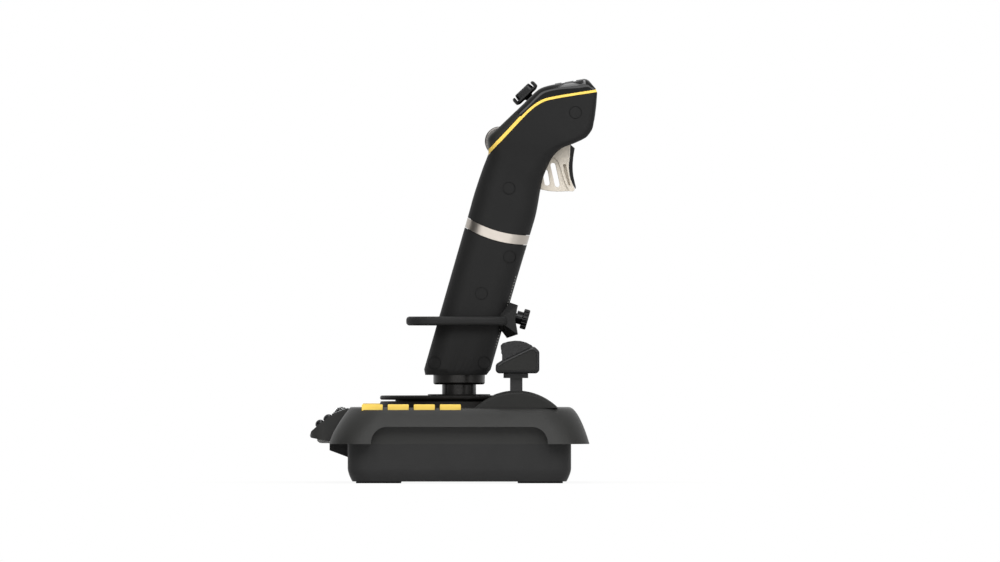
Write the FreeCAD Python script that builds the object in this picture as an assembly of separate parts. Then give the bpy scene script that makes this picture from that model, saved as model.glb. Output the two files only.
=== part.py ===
import FreeCAD, Part
import math
import os

V = FreeCAD.Vector

# Driving dimensions in millimetres. +Z is up, +Y points away from the user, +X to the user's right.
# The origin is on the table, under the middle of the whole joystick.

# base
shell_length = 178.8
shell_width = 190.0
shell_middle_y = 3.8
shell_bottom = 27.0
shell_top = 51.8
shell_slope_run = 14.0
rear_slope_power = 1.4
shell_corner = 26.0
shell_overhang = 12.6
shell_wall = 2.6
tub_bottom = 1.2
tub_corner = 14.0
tub_wall = 2.6
tub_tuck = 3.2
tub_tuck_height = 9.0
foot_length = 31.0
foot_width = 30.0
foot_sink = 0.8
foot_edge = 3.0
recess_length = 121.5
recess_height = 11.8
recess_corner = 11.0
screw_radius = 1.8
boss_radius = 4.2
usb_half_width = 4.6
usb_half_height = 1.7
board_bottom = 9.0
board_thickness = 1.6
board_length = 22.0
board_setback = 19.2
weight_half_width = 50.0
weight_height = 6.0
weight_gap = 5.45
screw_inset = 61.0

# nose
nose_half_width = 30.0
nose_corner = 10.0
nose_reach = 13.8
nose_top = [(13.2, -0.8), (2.0, -4.9), (-4.5, -9.4), (-9.4, -13.3), (-12.9, -16.4)]
nose_lift = 1.6
nose_pad_half_width = 9.0
nose_button_radius = 3.2
nose_button_depth = 2.6
dome_button_radius = 4.9
bezel_width = 1.3
bezel_height = 0.7
button_travel = 1.0
button_clearance = 0.3
jack_radius = 1.75
jack_depth = 14.0
wedge_half_width = 18.0
wedge_mouth = 22.3
wedge_foot = 17.5

# deck, sliding cover and shaft
stick_y = 3.45
gimbal_height = 40.0
tilt_range = 12.0
deck_margin = 12.0
deck_thickness = 4.2
tab_width = 5.0
tab_length = 10.0
tab_inset = 12.0
keeper_thickness = 0.8
slide_clearance = 0.15
disc_bottom = 57.1
disc_thickness = 2.9
ring_radius = 21.5
ring_height = 0.9
shaft_radius = 11.75
collar_radius = 17.8
collar_bottom = 67.6
grip_bottom = 74.2

# gimbal
frame_half = 24.0
frame_opening = 17.0
frame_half_height = 5.5
hub_half = 12.0
trunnion_radius = 4.0
pitch_pin_radius = 3.0
running_clearance = 0.05
cradle_foot = 4.0
cradle_upright = 8.0
upright_gap = 4.0
spigot_radius = 8.0
nut_height = 5.0
spring_wire = 0.7
spring_turns = 1.4

# grip, in its own leaning frame: across points forward, along runs up the handle
lean = 16.0
grip_shift = -2.05
grip_back = -22.3
grip_front = 22.0
grip_half_width = 20.0
grip_corner = 15.0
grip_swell = 0.4
head_half_width = 24.0
head_corner = 5.0
foot_draw = 1.9
foot_rise = 4.5
band_height = 6.9
band_middle = 96.5
band_sag = 3.1
band_gap = 0.3
grip_wall = 2.4
core_radius = 9.0
core_wall = 2.5
core_top = 137.0
stripe_width = 1.7
panel_stripe_width = 2.4
plug_radius = 4.0
plug_depth = 1.6
shank_radius = 1.5
fit_clearance = 0.1

upper_plugs = [(29.3, 196.6), (-0.4, 133.8)]
lower_plugs = [(13.0, 88.4), (1.3, 58.9), (-16.6, 3.9), (16.3, 13.4)]

# hand rest
rest_thickness = 6.2
rest_bottom = 108.3
rest_back = -33.0
rest_half_width = 30.0
rest_clearance = 0.4
clamp_half_width = 11.0
thumb_screw_along = 50.0
thumb_shank_radius = 2.5
thumb_shoulder_radius = 4.5
thumb_head_radius = 7.0

# trigger, wheel and hat
trigger_half_width = 5.0
trigger_clearance = 0.4
pivot_across = 30.0
pivot_along = 183.0
pin_radius = 1.5
wheel_across = -15.5
wheel_along = 163.2
wheel_radius = 10.3
wheel_half_width = 4.0
hat_rise = 13.1
hat_depth = 7.0
hat_stem_radius = 2.7
hat_gap = 1.3
hat_plate = 2.7
hat_rim_lift = 1.2
hat_rim_run = 2.5
hat_cap_length = 19.9
hat_cap_width = 15.0
hat_block_length = 13.6
hat_block_height = 4.1
hat_lip_height = 3.5
hat_lip_length = 2.1
hat_pin_radius = 1.2
head_button_half_width = 7.0
head_button_height = 0.5
head_button_turn = 25.7

# throttle
throttle_setback = 50.3
throttle_z = 21.9
throttle_inset = 24.0
dome_radius = 41.3
dome_half_width = 10.5
dome_wall = 2.5
lever_width = 8.5
lever_half_thickness = 3.5
lever_range = 22.0
lever_top = 78.0
axle_radius = 3.0
axle_half = 8.6
knob_half_width = 13.0
knob_cap = 2.5

# keys
key_width = 11.0
key_gap = 3.5
key_rows = 4
key_pitch_share = 0.1001
key_start_share = 0.335
key_top = 54.2
key_bottom = 47.4
key_rim = 50.4
key_inset = 16.0
key_clearance = 0.3

# places that follow from the sizes above
shell_rear = shell_middle_y - shell_length / 2
shell_front = shell_middle_y + shell_length / 2
throttle_x = shell_width / 2 - throttle_inset
throttle_y = shell_front - throttle_setback
key_pitch = shell_length * key_pitch_share
key_length = key_pitch - key_gap
key_first_y = shell_middle_y - shell_length * key_start_share
key_outer_x = shell_width / 2 - key_inset
screw_x = shell_width / 2 - screw_inset
deck_radius = key_outer_x - key_width - deck_margin
disc_radius = deck_radius - 1.5
keeper_radius = deck_radius - 12
tab_reach = keeper_radius - tab_inset
board_half_width = screw_x - boss_radius - 2.8
board_rear = shell_front - board_setback - board_length
tub_floor = tub_bottom + tub_wall
usb_z = board_bottom + board_thickness + usb_half_height
nose_tip = shell_rear - nose_reach


def box(x_low, x_high, y_low, y_high, z_low, z_high):
    return Part.makeBox(x_high - x_low, y_high - y_low, z_high - z_low, V(x_low, y_low, z_low))


def rod(radius, start, end):
    span = end - start
    return Part.makeCylinder(radius, span.Length, start, span)


def joined(shapes):
    return shapes[0].multiFuse(shapes[1:]).removeSplitter()


def mirrored(shape):
    return shape.mirror(V(0, 0, 0), V(1, 0, 0))


def prism(points, x_low, x_high):
    """Extrudes a closed outline of (y, z) points along X."""
    corners = [V(x_low, y, z) for y, z in points]
    face = Part.Face(Part.makePolygon(corners + corners[:1]))
    return face.extrude(V(x_high - x_low, 0, 0))


def section(half_width, back, front, corner):
    """A rounded rectangle that spans X and the line from back to front, both (y, z) points."""
    start = V(0, *back)
    along = V(0, *front) - start
    length = along.Length
    along.normalize()
    radius = min(corner, half_width - 0.5, length / 2 - 0.5)
    edges = []
    last = None
    for x_side, end_side in ((1, -1), (1, 1), (-1, 1), (-1, -1)):
        middle = start + V(x_side * (half_width - radius), 0, 0)
        middle += along * (radius if end_side < 0 else length - radius)
        to_x = V(x_side * radius, 0, 0)
        to_end = along * (end_side * radius)
        turn = (to_end, to_x) if x_side * end_side < 0 else (to_x, to_end)
        bulge = (to_x + to_end) * math.sqrt(0.5)
        points = [middle + turn[0], middle + bulge, middle + turn[1]]
        if last:
            edges.append(Part.makeLine(last, points[0]))
        edges.append(Part.Arc(*points).toShape())
        last = points[2]
    edges.append(Part.makeLine(last, edges[0].Vertexes[0].Point))
    return Part.Wire(edges)


def loft(wires):
    return Part.makeLoft(wires, True, True)


def rounded_block(half_width, y_low, y_high, z_low, z_high, corner):
    return loft([section(half_width, (y_low, z), (y_high, z), corner) for z in (z_low, z_high)])


def coil(radius, turns, pitch, start, axis):
    """A round-wire coil spring whose axis starts at a point and runs along a direction."""
    path = Part.makeHelix(pitch, pitch * turns, radius)
    profile = Part.Wire(Part.makeCircle(spring_wire, V(radius, 0, 0), V(0, 1, 0)))
    spring = Part.Wire(path.Edges).makePipeShell([profile], True, True)
    turned = FreeCAD.Rotation(V(0, 0, 1), axis)
    spring.Placement = FreeCAD.Placement(start, turned)
    return spring


# ---- base casings

def shell_block(inset):
    """The overhanging upper shell as a solid, drawn in by inset on every side but the bottom."""
    steps = 5
    wires = []
    for step in range(steps + 1):
        angle = math.radians(90 * step / steps)
        rise = math.sin(angle) ** 1.5
        draw = inset + shell_slope_run * (1 - math.cos(angle)) ** 0.8
        rear_draw = inset + shell_slope_run * rise ** rear_slope_power
        height = shell_bottom + (shell_top - inset - shell_bottom) * rise
        half_width = shell_width / 2 - draw
        ends = ((shell_rear + rear_draw, height), (shell_front - draw, height))
        wires.append(section(half_width, *ends, shell_corner - inset))
    return loft(wires)


def tub_block(inset, floor):
    """The tub as a solid that tucks in towards its floor."""
    half_length = shell_length / 2 - shell_overhang - inset
    half_width = shell_width / 2 - shell_overhang - inset
    wires = []
    heights = (floor, tub_bottom + tub_tuck_height, shell_bottom)
    for height, draw in zip(heights, (tub_tuck, 0, 0)):
        back = (shell_middle_y - half_length + draw, height)
        front = (shell_middle_y + half_length - draw, height)
        wires.append(section(half_width - draw, back, front, tub_corner - inset))
    return loft(wires)


def tub_screw_places():
    y = shell_length / 2 - shell_overhang - tub_wall - boss_radius - 2
    return [(side * screw_x, shell_middle_y + end * y) for side in (-1, 1) for end in (-1, 1)]


def foot_places():
    x = shell_width / 2 - shell_overhang - tub_tuck - foot_width / 2 - 8
    y = shell_length / 2 - shell_overhang - tub_tuck - foot_length / 2 - 2.5
    return [(side * x, shell_middle_y + end * y) for side in (-1, 1) for end in (-1, 1)]


def foot(x, y, grow, top):
    low = 0 if grow == 0 else tub_bottom - 1
    pad = rounded_block(foot_width / 2 + grow, y - foot_length / 2 - grow, y + foot_length / 2 + grow,
                        low, top, foot_edge)
    pad.translate(V(x, 0, 0))
    return pad


def make_rubber_feet():
    return Part.makeCompound([foot(x, y, 0, tub_bottom + foot_sink) for x, y in foot_places()])


def wedge(grow):
    """The housing under the nose that holds the headset jack."""
    rear = shell_rear - 0.2
    wall = shell_rear + shell_overhang
    inside = wall + 0.5
    under = [(rear, wedge_mouth), (wall, wedge_foot), (inside, wedge_foot)]
    outline = [(rear, shell_bottom)] + under + [(inside, shell_bottom)]
    return prism(outline, -wedge_half_width - grow, wedge_half_width + grow)


def jack_line():
    rear = shell_rear - 0.2
    return V(0, rear, (wedge_mouth + shell_bottom) / 2)


def jack_block(grow):
    mouth = jack_line()
    half = jack_radius + 0.35
    return box(-4 - grow, 4 + grow, mouth.y, mouth.y + jack_depth + 2 + grow,
               mouth.z - half, mouth.z + half)


def make_headset_jack():
    mouth = jack_line()
    return jack_block(0).cut(rod(jack_radius, mouth, mouth + V(0, jack_depth, 0)))


def usb_place():
    return shell_front - shell_overhang


def usb_block(grow):
    front = usb_place()
    return box(-usb_half_width - grow, usb_half_width + grow, front - 8, front - 0.4,
               usb_z - usb_half_height - grow, usb_z + usb_half_height + grow)


def make_usb_socket():
    front = usb_place()
    hollow = box(-usb_half_width + 0.4, usb_half_width - 0.4, front - 7, front,
                 usb_z - usb_half_height + 0.4, usb_z + usb_half_height - 0.4)
    tongue = box(-3.2, 3.2, front - 7, front - 2, usb_z - 0.3, usb_z + 0.3)
    return joined([usb_block(0).cut(hollow), tongue])


def throttle_post(x_low, x_high):
    post = box(x_low, x_high, throttle_y - 6, throttle_y + 6, tub_floor, throttle_z)
    return joined([post, rod(6, V(x_low, throttle_y, throttle_z), V(x_high, throttle_y, throttle_z))])


def make_base_tub():
    tub = tub_block(0, tub_bottom).cut(tub_block(tub_wall, tub_floor))
    extras = [wedge(0)]
    cuts = [jack_block(fit_clearance), usb_block(fit_clearance)]
    front = usb_place()
    cuts.append(box(-usb_half_width + 0.4, usb_half_width - 0.4, front - 2, front + 1,
                    usb_z - usb_half_height + 0.4, usb_z + usb_half_height - 0.4))
    for x, y in tub_screw_places():
        extras.append(rod(boss_radius, V(x, y, tub_bottom + 1), V(x, y, shell_bottom)))
        cuts.append(rod(screw_radius + fit_clearance, V(x, y, 0), V(x, y, shell_bottom)))
        cuts.append(rod(screw_radius * 1.8 + fit_clearance, V(x, y, 0), V(x, y, tub_floor)))
    for side in (-1, 1):
        for gap_side in (-1, 1):
            middle = side * throttle_x + gap_side * (lever_half_thickness + 4.2)
            extras.append(throttle_post(middle - 1.5, middle + 1.5))
        reach = axle_half + 0.2
        ends = [V(side * throttle_x + end, throttle_y, throttle_z) for end in (-reach, reach)]
        cuts.append(rod(axle_radius + running_clearance, *ends))
    for x, y in board_posts():
        extras.append(rod(3, V(x, y, tub_floor - 1), V(x, y, board_bottom)))
    for x, y in foot_places():
        cuts.append(foot(x, y, fit_clearance, tub_bottom + foot_sink))
    return joined([tub] + extras).cut(cuts)


def make_tub_screws():
    screws = []
    for x, y in tub_screw_places():
        head = rod(screw_radius * 1.8, V(x, y, tub_floor - 2), V(x, y, tub_floor))
        screws.append(joined([head, rod(screw_radius, V(x, y, tub_floor), V(x, y, shell_bottom + 9))]))
    return Part.makeCompound(screws)


def board_posts():
    rows = (board_rear + 5, board_rear + board_length - 5)
    return [(side * (board_half_width - 5), y) for side in (-1, 1) for y in rows]


def make_main_board():
    top = board_bottom + board_thickness
    front = board_rear + board_length
    board = box(-board_half_width, board_half_width, board_rear, front, board_bottom, top)
    small = board_half_width / 3
    tall = board_half_width - 3
    chips = [
        box(-small, small, board_rear + 4, board_rear + 18, top, top + 1.4),
        box(small + 5, tall - 2, board_rear + 6, board_rear + 16, top, top + 3),
        box(-tall, -small - 5, board_rear + 8, board_rear + 14, top, top + 5),
    ]
    return joined([board] + chips)


def make_weight_plate():
    back = tub_screw_places()[0][1] + boss_radius + 2
    front = stick_y - upright_reach() - cradle_upright - weight_gap
    return box(-weight_half_width, weight_half_width, back, front, tub_floor, tub_floor + weight_height)


def key_places():
    return [key_first_y + key_pitch * row for row in range(key_rows)]


def key_block(side, y, grow, low, high):
    inner = key_outer_x - key_width
    half = key_length / 2 + grow
    block = box(inner - grow, key_outer_x + grow, y - half, y + half, low, high)
    return block if side > 0 else mirrored(block)


def recess_solid(side, grow):
    """The pocket in the side of the shell, flush with the tub's wall, with two round upper corners."""
    wall = shell_width / 2 - shell_overhang - grow
    half = recess_length / 2 + grow
    top = shell_bottom + recess_height + grow
    low = shell_bottom - 30
    block = box(wall, shell_width / 2 + 5, shell_middle_y - half, shell_middle_y + half, low, top)
    upper = [edge for edge in block.Edges if edge.BoundBox.XLength > 1 and edge.BoundBox.ZMin > top - 0.1]
    block = block.makeFillet(recess_corner + grow, upper)
    block = block.common(box(0, shell_width, -200, 200, shell_bottom, shell_top))
    return block if side > 0 else mirrored(block)


def make_base_top_shell():
    block = shell_block(0)
    shell = block.cut(shell_block(shell_wall))
    walls = [recess_solid(side, shell_wall).common(block) for side in (-1, 1)]
    bosses = []
    cuts = [recess_solid(side, 0) for side in (-1, 1)]
    for x, y in tub_screw_places():
        bosses.append(rod(boss_radius, V(x, y, shell_bottom), V(x, y, shell_top - 1)))
        cuts.append(rod(screw_radius + fit_clearance, V(x, y, shell_bottom), V(x, y, shell_bottom + 10)))
    lip = tub_lip()
    cuts.append(rod(deck_radius - 8, V(0, stick_y, shell_top - 6), V(0, stick_y, shell_top + 1)))
    for side in (-1, 1):
        x_side = side * throttle_x
        half = dome_half_width - dome_wall
        reach = slot_reach()
        cuts.append(box(x_side - half, x_side + half, throttle_y - reach, throttle_y + reach,
                        shell_top - 6, shell_top + 1))
        for y in key_places():
            cuts.append(key_block(side, y, key_clearance, key_bottom - 3, shell_top + 1))
    for side in (-1, 1):
        for y in key_places():
            rim = box(key_outer_x, key_outer_x + 12, y - key_length / 2 - key_clearance,
                      y + key_length / 2 + key_clearance, key_rim, shell_top + 1)
            cuts.append(rim if side > 0 else mirrored(rim))
    return joined([shell, lip] + walls + bosses).cut(cuts + nose_wells())


def tub_lip():
    """The inward flange under the overhang that closes the gap between shell and tub."""
    flange = shell_block(0).common(box(-200, 200, -200, 200, shell_bottom, shell_bottom + 2))
    return flange.cut(tub_block(tub_wall, tub_bottom).fuse(inner_column()))


def inner_column():
    half_length = shell_length / 2 - shell_overhang - tub_wall
    half_width = shell_width / 2 - shell_overhang - tub_wall
    return rounded_block(half_width, shell_middle_y - half_length, shell_middle_y + half_length,
                         shell_bottom - 5, shell_bottom + 5, tub_corner - tub_wall)


def slot_reach():
    """Half the chord of the throttle dome at the underside of the shell's top."""
    inner = dome_radius - dome_wall
    return math.sqrt(inner ** 2 - (shell_top - shell_wall - throttle_z) ** 2)


# ---- nose

def nose_outline():
    """The nose's side view: its slope follows nose_top, given from the shell's rear and top."""
    inside = shell_rear + shell_slope_run + 2
    foot = shell_bottom + nose_lift
    slope = [(shell_rear + y, shell_top + z) for y, z in nose_top]
    tip = [(nose_tip + 0.1, shell_top - 19.4), (nose_tip + 0.7, shell_top - 20.8)]
    return [(inside, shell_top - 0.8)] + slope + tip + [(shell_rear - 0.6, foot), (inside, foot)]


def nose_pad():
    """The round-ended pad under the nose, in front of the jack's housing."""
    side_view = [(-0.3, 3.0), (-0.3, 0.1), (-5.6, 0.1), (-7.4, 0.5), (-8.7, 1.7), (-9.0, 3.0)]
    outline = [(shell_rear + y, shell_bottom + z) for y, z in side_view]
    return prism(outline, -nose_pad_half_width, nose_pad_half_width)


def nose_face(y):
    """The point of the nose's slope at a distance from the shell's rear, and the slope's normal there."""
    for (y_high, z_high), (y_low, z_low) in zip(nose_top, nose_top[1:]):
        if y_low <= y <= y_high:
            z = z_low + (z_high - z_low) * (y - y_low) / (y_high - y_low)
            normal = V(0, z_low - z_high, y_high - y_low)
            return V(0, shell_rear + y, shell_top + z), normal.normalize()


def nose_buttons():
    """Name, place and normal on the slope, radius and height of each button on the nose."""
    return [
        ("nose_button_lower", nose_face(-7.0), nose_button_radius, 2.9),
        ("nose_button_upper", nose_face(-1.6), nose_button_radius, 2.5),
        ("dome_button", nose_face(7.1), dome_button_radius, 3.3),
    ]


def nose_button(face, radius, height):
    """A short plunger with a domed crown, turned about its own axis."""
    crown_radius = (radius ** 2 + (height - 0.8) ** 2) / (2 * (height - 0.8))
    half_turn = math.asin(radius / crown_radius) / 2
    shoulder = V(radius, 0, 0.8)
    bulge = V(crown_radius * math.sin(half_turn), 0, height - crown_radius * (1 - math.cos(half_turn)))
    crown = Part.Arc(shoulder, bulge, V(0, 0, height)).toShape()
    foot = [V(0, 0, height), V(0, 0, -nose_button_depth), V(radius, 0, -nose_button_depth), shoulder]
    sides = [Part.makeLine(*pair) for pair in zip(foot, foot[1:])]
    button = Part.Face(Part.Wire(sides + [crown])).revolve(V(0, 0, 0), V(0, 0, 1), 360)
    button.Placement = FreeCAD.Placement(face[0], FreeCAD.Rotation(V(0, 0, 1), face[1]))
    return button


def nose_wells():
    wells = []
    for _, (place, up), radius, _ in nose_buttons():
        depth = place - up * (nose_button_depth + button_travel + 0.4)
        wells.append(rod(radius + button_clearance, depth, place + up * 8))
    return wells


def make_nose_panel():
    body = prism(nose_outline(), -nose_half_width, nose_half_width)
    low = shell_bottom - 5
    plan = rounded_block(nose_half_width, nose_tip, shell_rear + 45, low, shell_top + 5, nose_corner)
    place, up = nose_face(7.1)
    bezel = rod(dome_button_radius + bezel_width, place - up, place + up * bezel_height)
    return joined([body.common(plan), nose_pad(), bezel]).cut([shell_block(0)] + nose_wells())


# ---- deck and sliding cover

def shaft_hole(height, extra):
    """Radius that the tilted shaft sweeps at a height, with both tilts at their limits."""
    both = math.acos(math.cos(math.radians(tilt_range)) ** 2)
    return shaft_radius / math.cos(both) + abs(height - gimbal_height) * math.tan(both) + extra


def disc_middle():
    return disc_bottom + disc_thickness / 2


def slide_ratio():
    """Millimetres that the cover slides for each radian of tilt."""
    return disc_middle() - gimbal_height


def slide_travel():
    return slide_ratio() * math.radians(tilt_range)


def tab(x, y, low, high, grow_x, grow_y):
    half_x = tab_width / 2 + grow_x if x else tab_length / 2 + grow_x
    half_y = tab_length / 2 + grow_y if x else tab_width / 2 + grow_y
    return box(x - half_x, x + half_x, stick_y + y - half_y, stick_y + y + half_y, low, high)


def make_deck_plate():
    top = shell_top + deck_thickness
    plate = Part.makeCone(deck_radius, deck_radius - 2, deck_thickness, V(0, stick_y, shell_top))
    cuts = [rod(shaft_hole(top, 0.6), V(0, stick_y, shell_top - 1), V(0, stick_y, top + 1))]
    grow = slide_travel() + 0.4
    for side in (-1, 1):
        cuts.append(tab(0, side * tab_reach, top - 2, top + 1, grow, slide_clearance))
    return plate.cut(cuts)


def make_dust_keeper():
    low = shell_top + deck_thickness + slide_clearance
    high = low + keeper_thickness
    plate = rod(keeper_radius, V(0, stick_y, low), V(0, stick_y, high))
    tabs = [tab(0, side * tab_reach, low - 1.8, high, 0, 0) for side in (-1, 1)]
    cuts = [rod(shaft_hole(high, 0.6), V(0, stick_y, low - 1), V(0, stick_y, high + 1))]
    grow = slide_travel() + 0.4
    for side in (-1, 1):
        cuts.append(tab(side * tab_reach, 0, low - 1, high + 1, slide_clearance, grow))
    return joined([plate] + tabs).cut(cuts)


def make_cover_disc():
    axis_low = V(0, stick_y, disc_bottom)
    top = disc_bottom + disc_thickness
    disc = rod(disc_radius, axis_low, V(0, stick_y, top))
    rims = [edge for edge in disc.Edges if edge.BoundBox.ZLength < 0.1]
    disc = disc.makeFillet(disc_thickness * 0.42, rims)
    ring = rod(ring_radius, V(0, stick_y, top), V(0, stick_y, top + ring_height))
    keeper_low = shell_top + deck_thickness + slide_clearance
    tabs = [tab(side * tab_reach, 0, keeper_low + 0.1, disc_bottom + 0.5, 0, 0) for side in (-1, 1)]
    both = math.acos(math.cos(math.radians(tilt_range)) ** 2)
    spread = (disc_thickness / 2 + ring_height) * math.tan(both)
    hole = shaft_radius / math.cos(both) + spread + 0.35
    bore = rod(hole, V(0, stick_y, disc_bottom - 2), V(0, stick_y, top + ring_height + 1))
    return joined([disc, ring] + tabs).cut(bore)


# ---- gimbal

def around_stick(half_x, half_y, low, high):
    return box(-half_x, half_x, stick_y - half_y, stick_y + half_y, low, high)


def trunnion(radius, reach_low, reach_high, side, axis):
    middle = V(0, stick_y, gimbal_height)
    return rod(radius, middle + axis * (side * reach_low), middle + axis * (side * reach_high))


def upright_reach():
    return frame_half + upright_gap


def make_gimbal_cradle():
    outer = upright_reach() + cradle_upright
    foot_plate = around_stick(18, outer, tub_floor, tub_floor + cradle_foot)
    parts = [foot_plate]
    cuts = []
    for side in (-1, 1):
        y_low, y_high = sorted((side * upright_reach(), side * outer))
        parts.append(box(-10, 10, stick_y + y_low, stick_y + y_high, tub_floor, gimbal_height))
        parts.append(trunnion(7.5, upright_reach(), outer, side, V(0, 1, 0)))
        cuts.append(trunnion(trunnion_radius + running_clearance, frame_half, outer + 1, side, V(0, 1, 0)))
    return joined(parts).cut(cuts)


def make_roll_frame():
    low = gimbal_height - frame_half_height
    high = gimbal_height + frame_half_height
    ring = around_stick(frame_half, frame_half, low, high)
    ring = ring.makeFillet(5, [edge for edge in ring.Edges if edge.BoundBox.ZLength > 1])
    ring = ring.cut(around_stick(frame_opening, frame_opening, low - 1, high + 1))
    reach = upright_reach() + cradle_upright
    ends = [trunnion(trunnion_radius, frame_half - 1, reach, side, V(0, 1, 0)) for side in (-1, 1)]
    across = V(1, 0, 0)
    cuts = [trunnion(pitch_pin_radius, frame_opening - 1, frame_half + 1, side, across) for side in (-1, 1)]
    return joined([ring] + ends).cut(cuts)


def make_pitch_pins():
    pins = [trunnion(pitch_pin_radius, hub_half - 3.5, frame_half, side, V(1, 0, 0)) for side in (-1, 1)]
    return Part.makeCompound(pins)


def make_pitch_hub():
    low = gimbal_height - frame_half_height
    high = gimbal_height + frame_half_height
    hub = around_stick(hub_half, hub_half, low, high)
    hub = hub.makeChamfer(3, [edge for edge in hub.Edges if edge.BoundBox.ZLength > 1])
    cuts = [rod(spigot_radius + running_clearance, V(0, stick_y, low - 1), V(0, stick_y, high + 1))]
    pin_bore = pitch_pin_radius + running_clearance
    for side in (-1, 1):
        cuts.append(trunnion(pin_bore, hub_half - 3.7, hub_half + 1, side, V(1, 0, 0)))
    return hub.cut(cuts)


def make_roll_spring():
    start = V(0, stick_y + frame_half + spring_wire + 0.2, gimbal_height)
    pitch = (upright_gap - 2 * spring_wire - 0.4) / spring_turns
    return coil(trunnion_radius + spring_wire + 0.3, spring_turns, pitch, start, V(0, 1, 0))


def make_pitch_spring():
    start = V(hub_half + spring_wire + 0.2, stick_y, gimbal_height)
    pitch = (frame_opening - hub_half - 2 * spring_wire - 0.4) / spring_turns
    return coil(pitch_pin_radius + spring_wire + 0.3, spring_turns, pitch, start, V(1, 0, 0))


def make_twist_spring():
    start = V(0, stick_y, nut_top() + spring_wire + 0.3)
    height = gimbal_height - frame_half_height - spring_wire - 0.3 - start.z
    return coil(spigot_radius + spring_wire + 0.5, spring_turns, height / spring_turns, start, V(0, 0, 1))


# ---- shaft

def shaft_floor():
    return gimbal_height - frame_half_height - 8


def nut_top():
    return shaft_floor() - 4 + nut_height


def make_shaft():
    axis = [V(0, stick_y, z) for z in (shaft_floor() - 4, hub_top(), collar_bottom, grip_bottom + 7)]
    spigot = rod(spigot_radius, axis[0], axis[1])
    tube = rod(shaft_radius, axis[1], axis[2])
    upper = rod(spigot_radius, axis[2], axis[3])
    bore = rod(spigot_radius - 3, V(0, stick_y, 0), V(0, stick_y, 200))
    groove = box(-1.6, 1.6, stick_y - 30, stick_y + 30, hub_top() + 1, collar_bottom)
    groove = groove.cut(rod(shaft_radius - 0.5, axis[0], axis[3]))
    flats = Part.makeCompound([turned_about_stick(groove, angle) for angle in (45, 135)])
    return joined([spigot, tube, upper]).cut([bore, flats])


def turned_about_stick(shape, angle):
    copy = shape.copy()
    copy.rotate(V(0, stick_y, 0), V(0, 0, 1), angle)
    return copy


def hub_top():
    return gimbal_height + frame_half_height + 0.2


def make_shaft_nut():
    low = shaft_floor() - 4
    sides = 6
    points = []
    for side in range(sides + 1):
        angle = 2 * math.pi * side / sides
        points.append(V(13 * math.cos(angle), stick_y + 13 * math.sin(angle), low))
    nut = Part.Face(Part.makePolygon(points)).extrude(V(0, 0, nut_height))
    return nut.cut(rod(spigot_radius, V(0, stick_y, low - 1), V(0, stick_y, low + 9)))


def make_shaft_collar():
    low = V(0, stick_y, collar_bottom)
    collar = rod(collar_radius, low, V(0, stick_y, grip_bottom))
    lower = [edge for edge in collar.Edges if edge.BoundBox.ZMax < collar_bottom + 0.1]
    collar = collar.makeFillet(1.6, lower)
    return collar.cut(rod(spigot_radius, low, V(0, stick_y, grip_bottom + 1)))


# ---- grip, modelled upright and then leaned forward

def grip_placed(shape):
    leaning = FreeCAD.Rotation(V(1, 0, 0), -lean)
    copy = shape.copy()
    foot_middle = V(0, stick_y + grip_shift, grip_bottom)
    copy.Placement = FreeCAD.Placement(foot_middle, leaning).multiply(shape.Placement)
    return copy


cover_foot = (-10.5, 186.4)
cover_bend = (0.2, 204.6)
head_outline = [
    # back point, front point, share of the way from the handle's width to the head's
    ((grip_back, -16.0), (grip_front, -16.0), 0.0),
    ((grip_back, 72.0), (grip_front, 72.0), 0.0),
    ((grip_back, 108.0), (grip_front + grip_swell, 108.0), 0.0),
    ((grip_back - 0.1, 124.0), (grip_front + grip_swell, 122.0), 0.03),
    ((-21.6, 142.0), (20.7, 139.0), 0.12),
    ((-20.8, 153.0), (20.2, 147.0), 0.33),
    ((-22.4, 158.4), (20.9, 154.5), 0.46),
    ((-23.8, 162.2), (22.3, 162.0), 0.62),
    ((-22.9, 165.8), (24.6, 167.0), 0.75),
    ((-19.0, 171.9), (27.5, 170.8), 0.85),
    (cover_foot, (35.0, 176.7), 1.0),
    ((-7.2, 192.0), (38.8, 180.0), 1.0),
    (cover_bend, (41.9, 183.8), 1.0),
    ((4.2, 208.1), (43.5, 188.6), 0.98),
    ((11.3, 212.0), (43.3, 193.5), 0.95),
    ((22.7, 217.2), (42.8, 198.5), 0.9),
    ((29.7, 220.8), (41.6, 206.0), 0.84),
    ((32.2, 220.4), (41.2, 207.9), 0.82),
    ((38.0, 216.4), (39.9, 213.8), 0.75),
]


def grip_form(inset):
    """The whole handle as a solid, drawn in by inset, from below its foot to the end of its head."""
    wires = []
    rows = head_outline if inset == 0 else head_outline[:-1]
    for back, front, share in rows:
        start = V(0, *back)
        along = (V(0, *front) - start).normalize()
        low = start + along * inset
        high = V(0, *front) - along * inset
        half_width = grip_half_width + (head_half_width - grip_half_width) * share
        corner = grip_corner + (head_corner - grip_corner) * share
        wires.append(section(half_width - inset, (low.y, low.z), (high.y, high.z), corner - inset))
    return loft(wires)


stripe_line = [
    (-25.0, 143.8), (-19.0, 155.1), (-11.9, 168.5), (-5.7, 180.6), (-1.3, 188.6), (2.2, 193.6),
    (7.0, 198.3), (14.1, 202.3), (25.8, 207.9), (39.7, 214.3), (49.0, 218.6),
]


def above_stripe(offset):
    """Everything above the trim stripe's lower edge, moved up by an offset."""
    shifted = [(y - 0.68 * offset, z + 0.8 * offset) for y, z in stripe_line]
    return prism(shifted + [(60, 260), (-60, 260), (-60, stripe_line[0][1])], -60, 60)


def panel_region():
    """The part of the head below the joint between the matte panel and the glossy cover."""
    line = (0.835, -0.55)
    points = [(cover_foot[0] + line[0] * step, cover_foot[1] + line[1] * step) for step in (-14, 14)]
    return prism(points + [(30, 120), (-60, 120), (-60, 200)], -60, 60)


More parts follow.
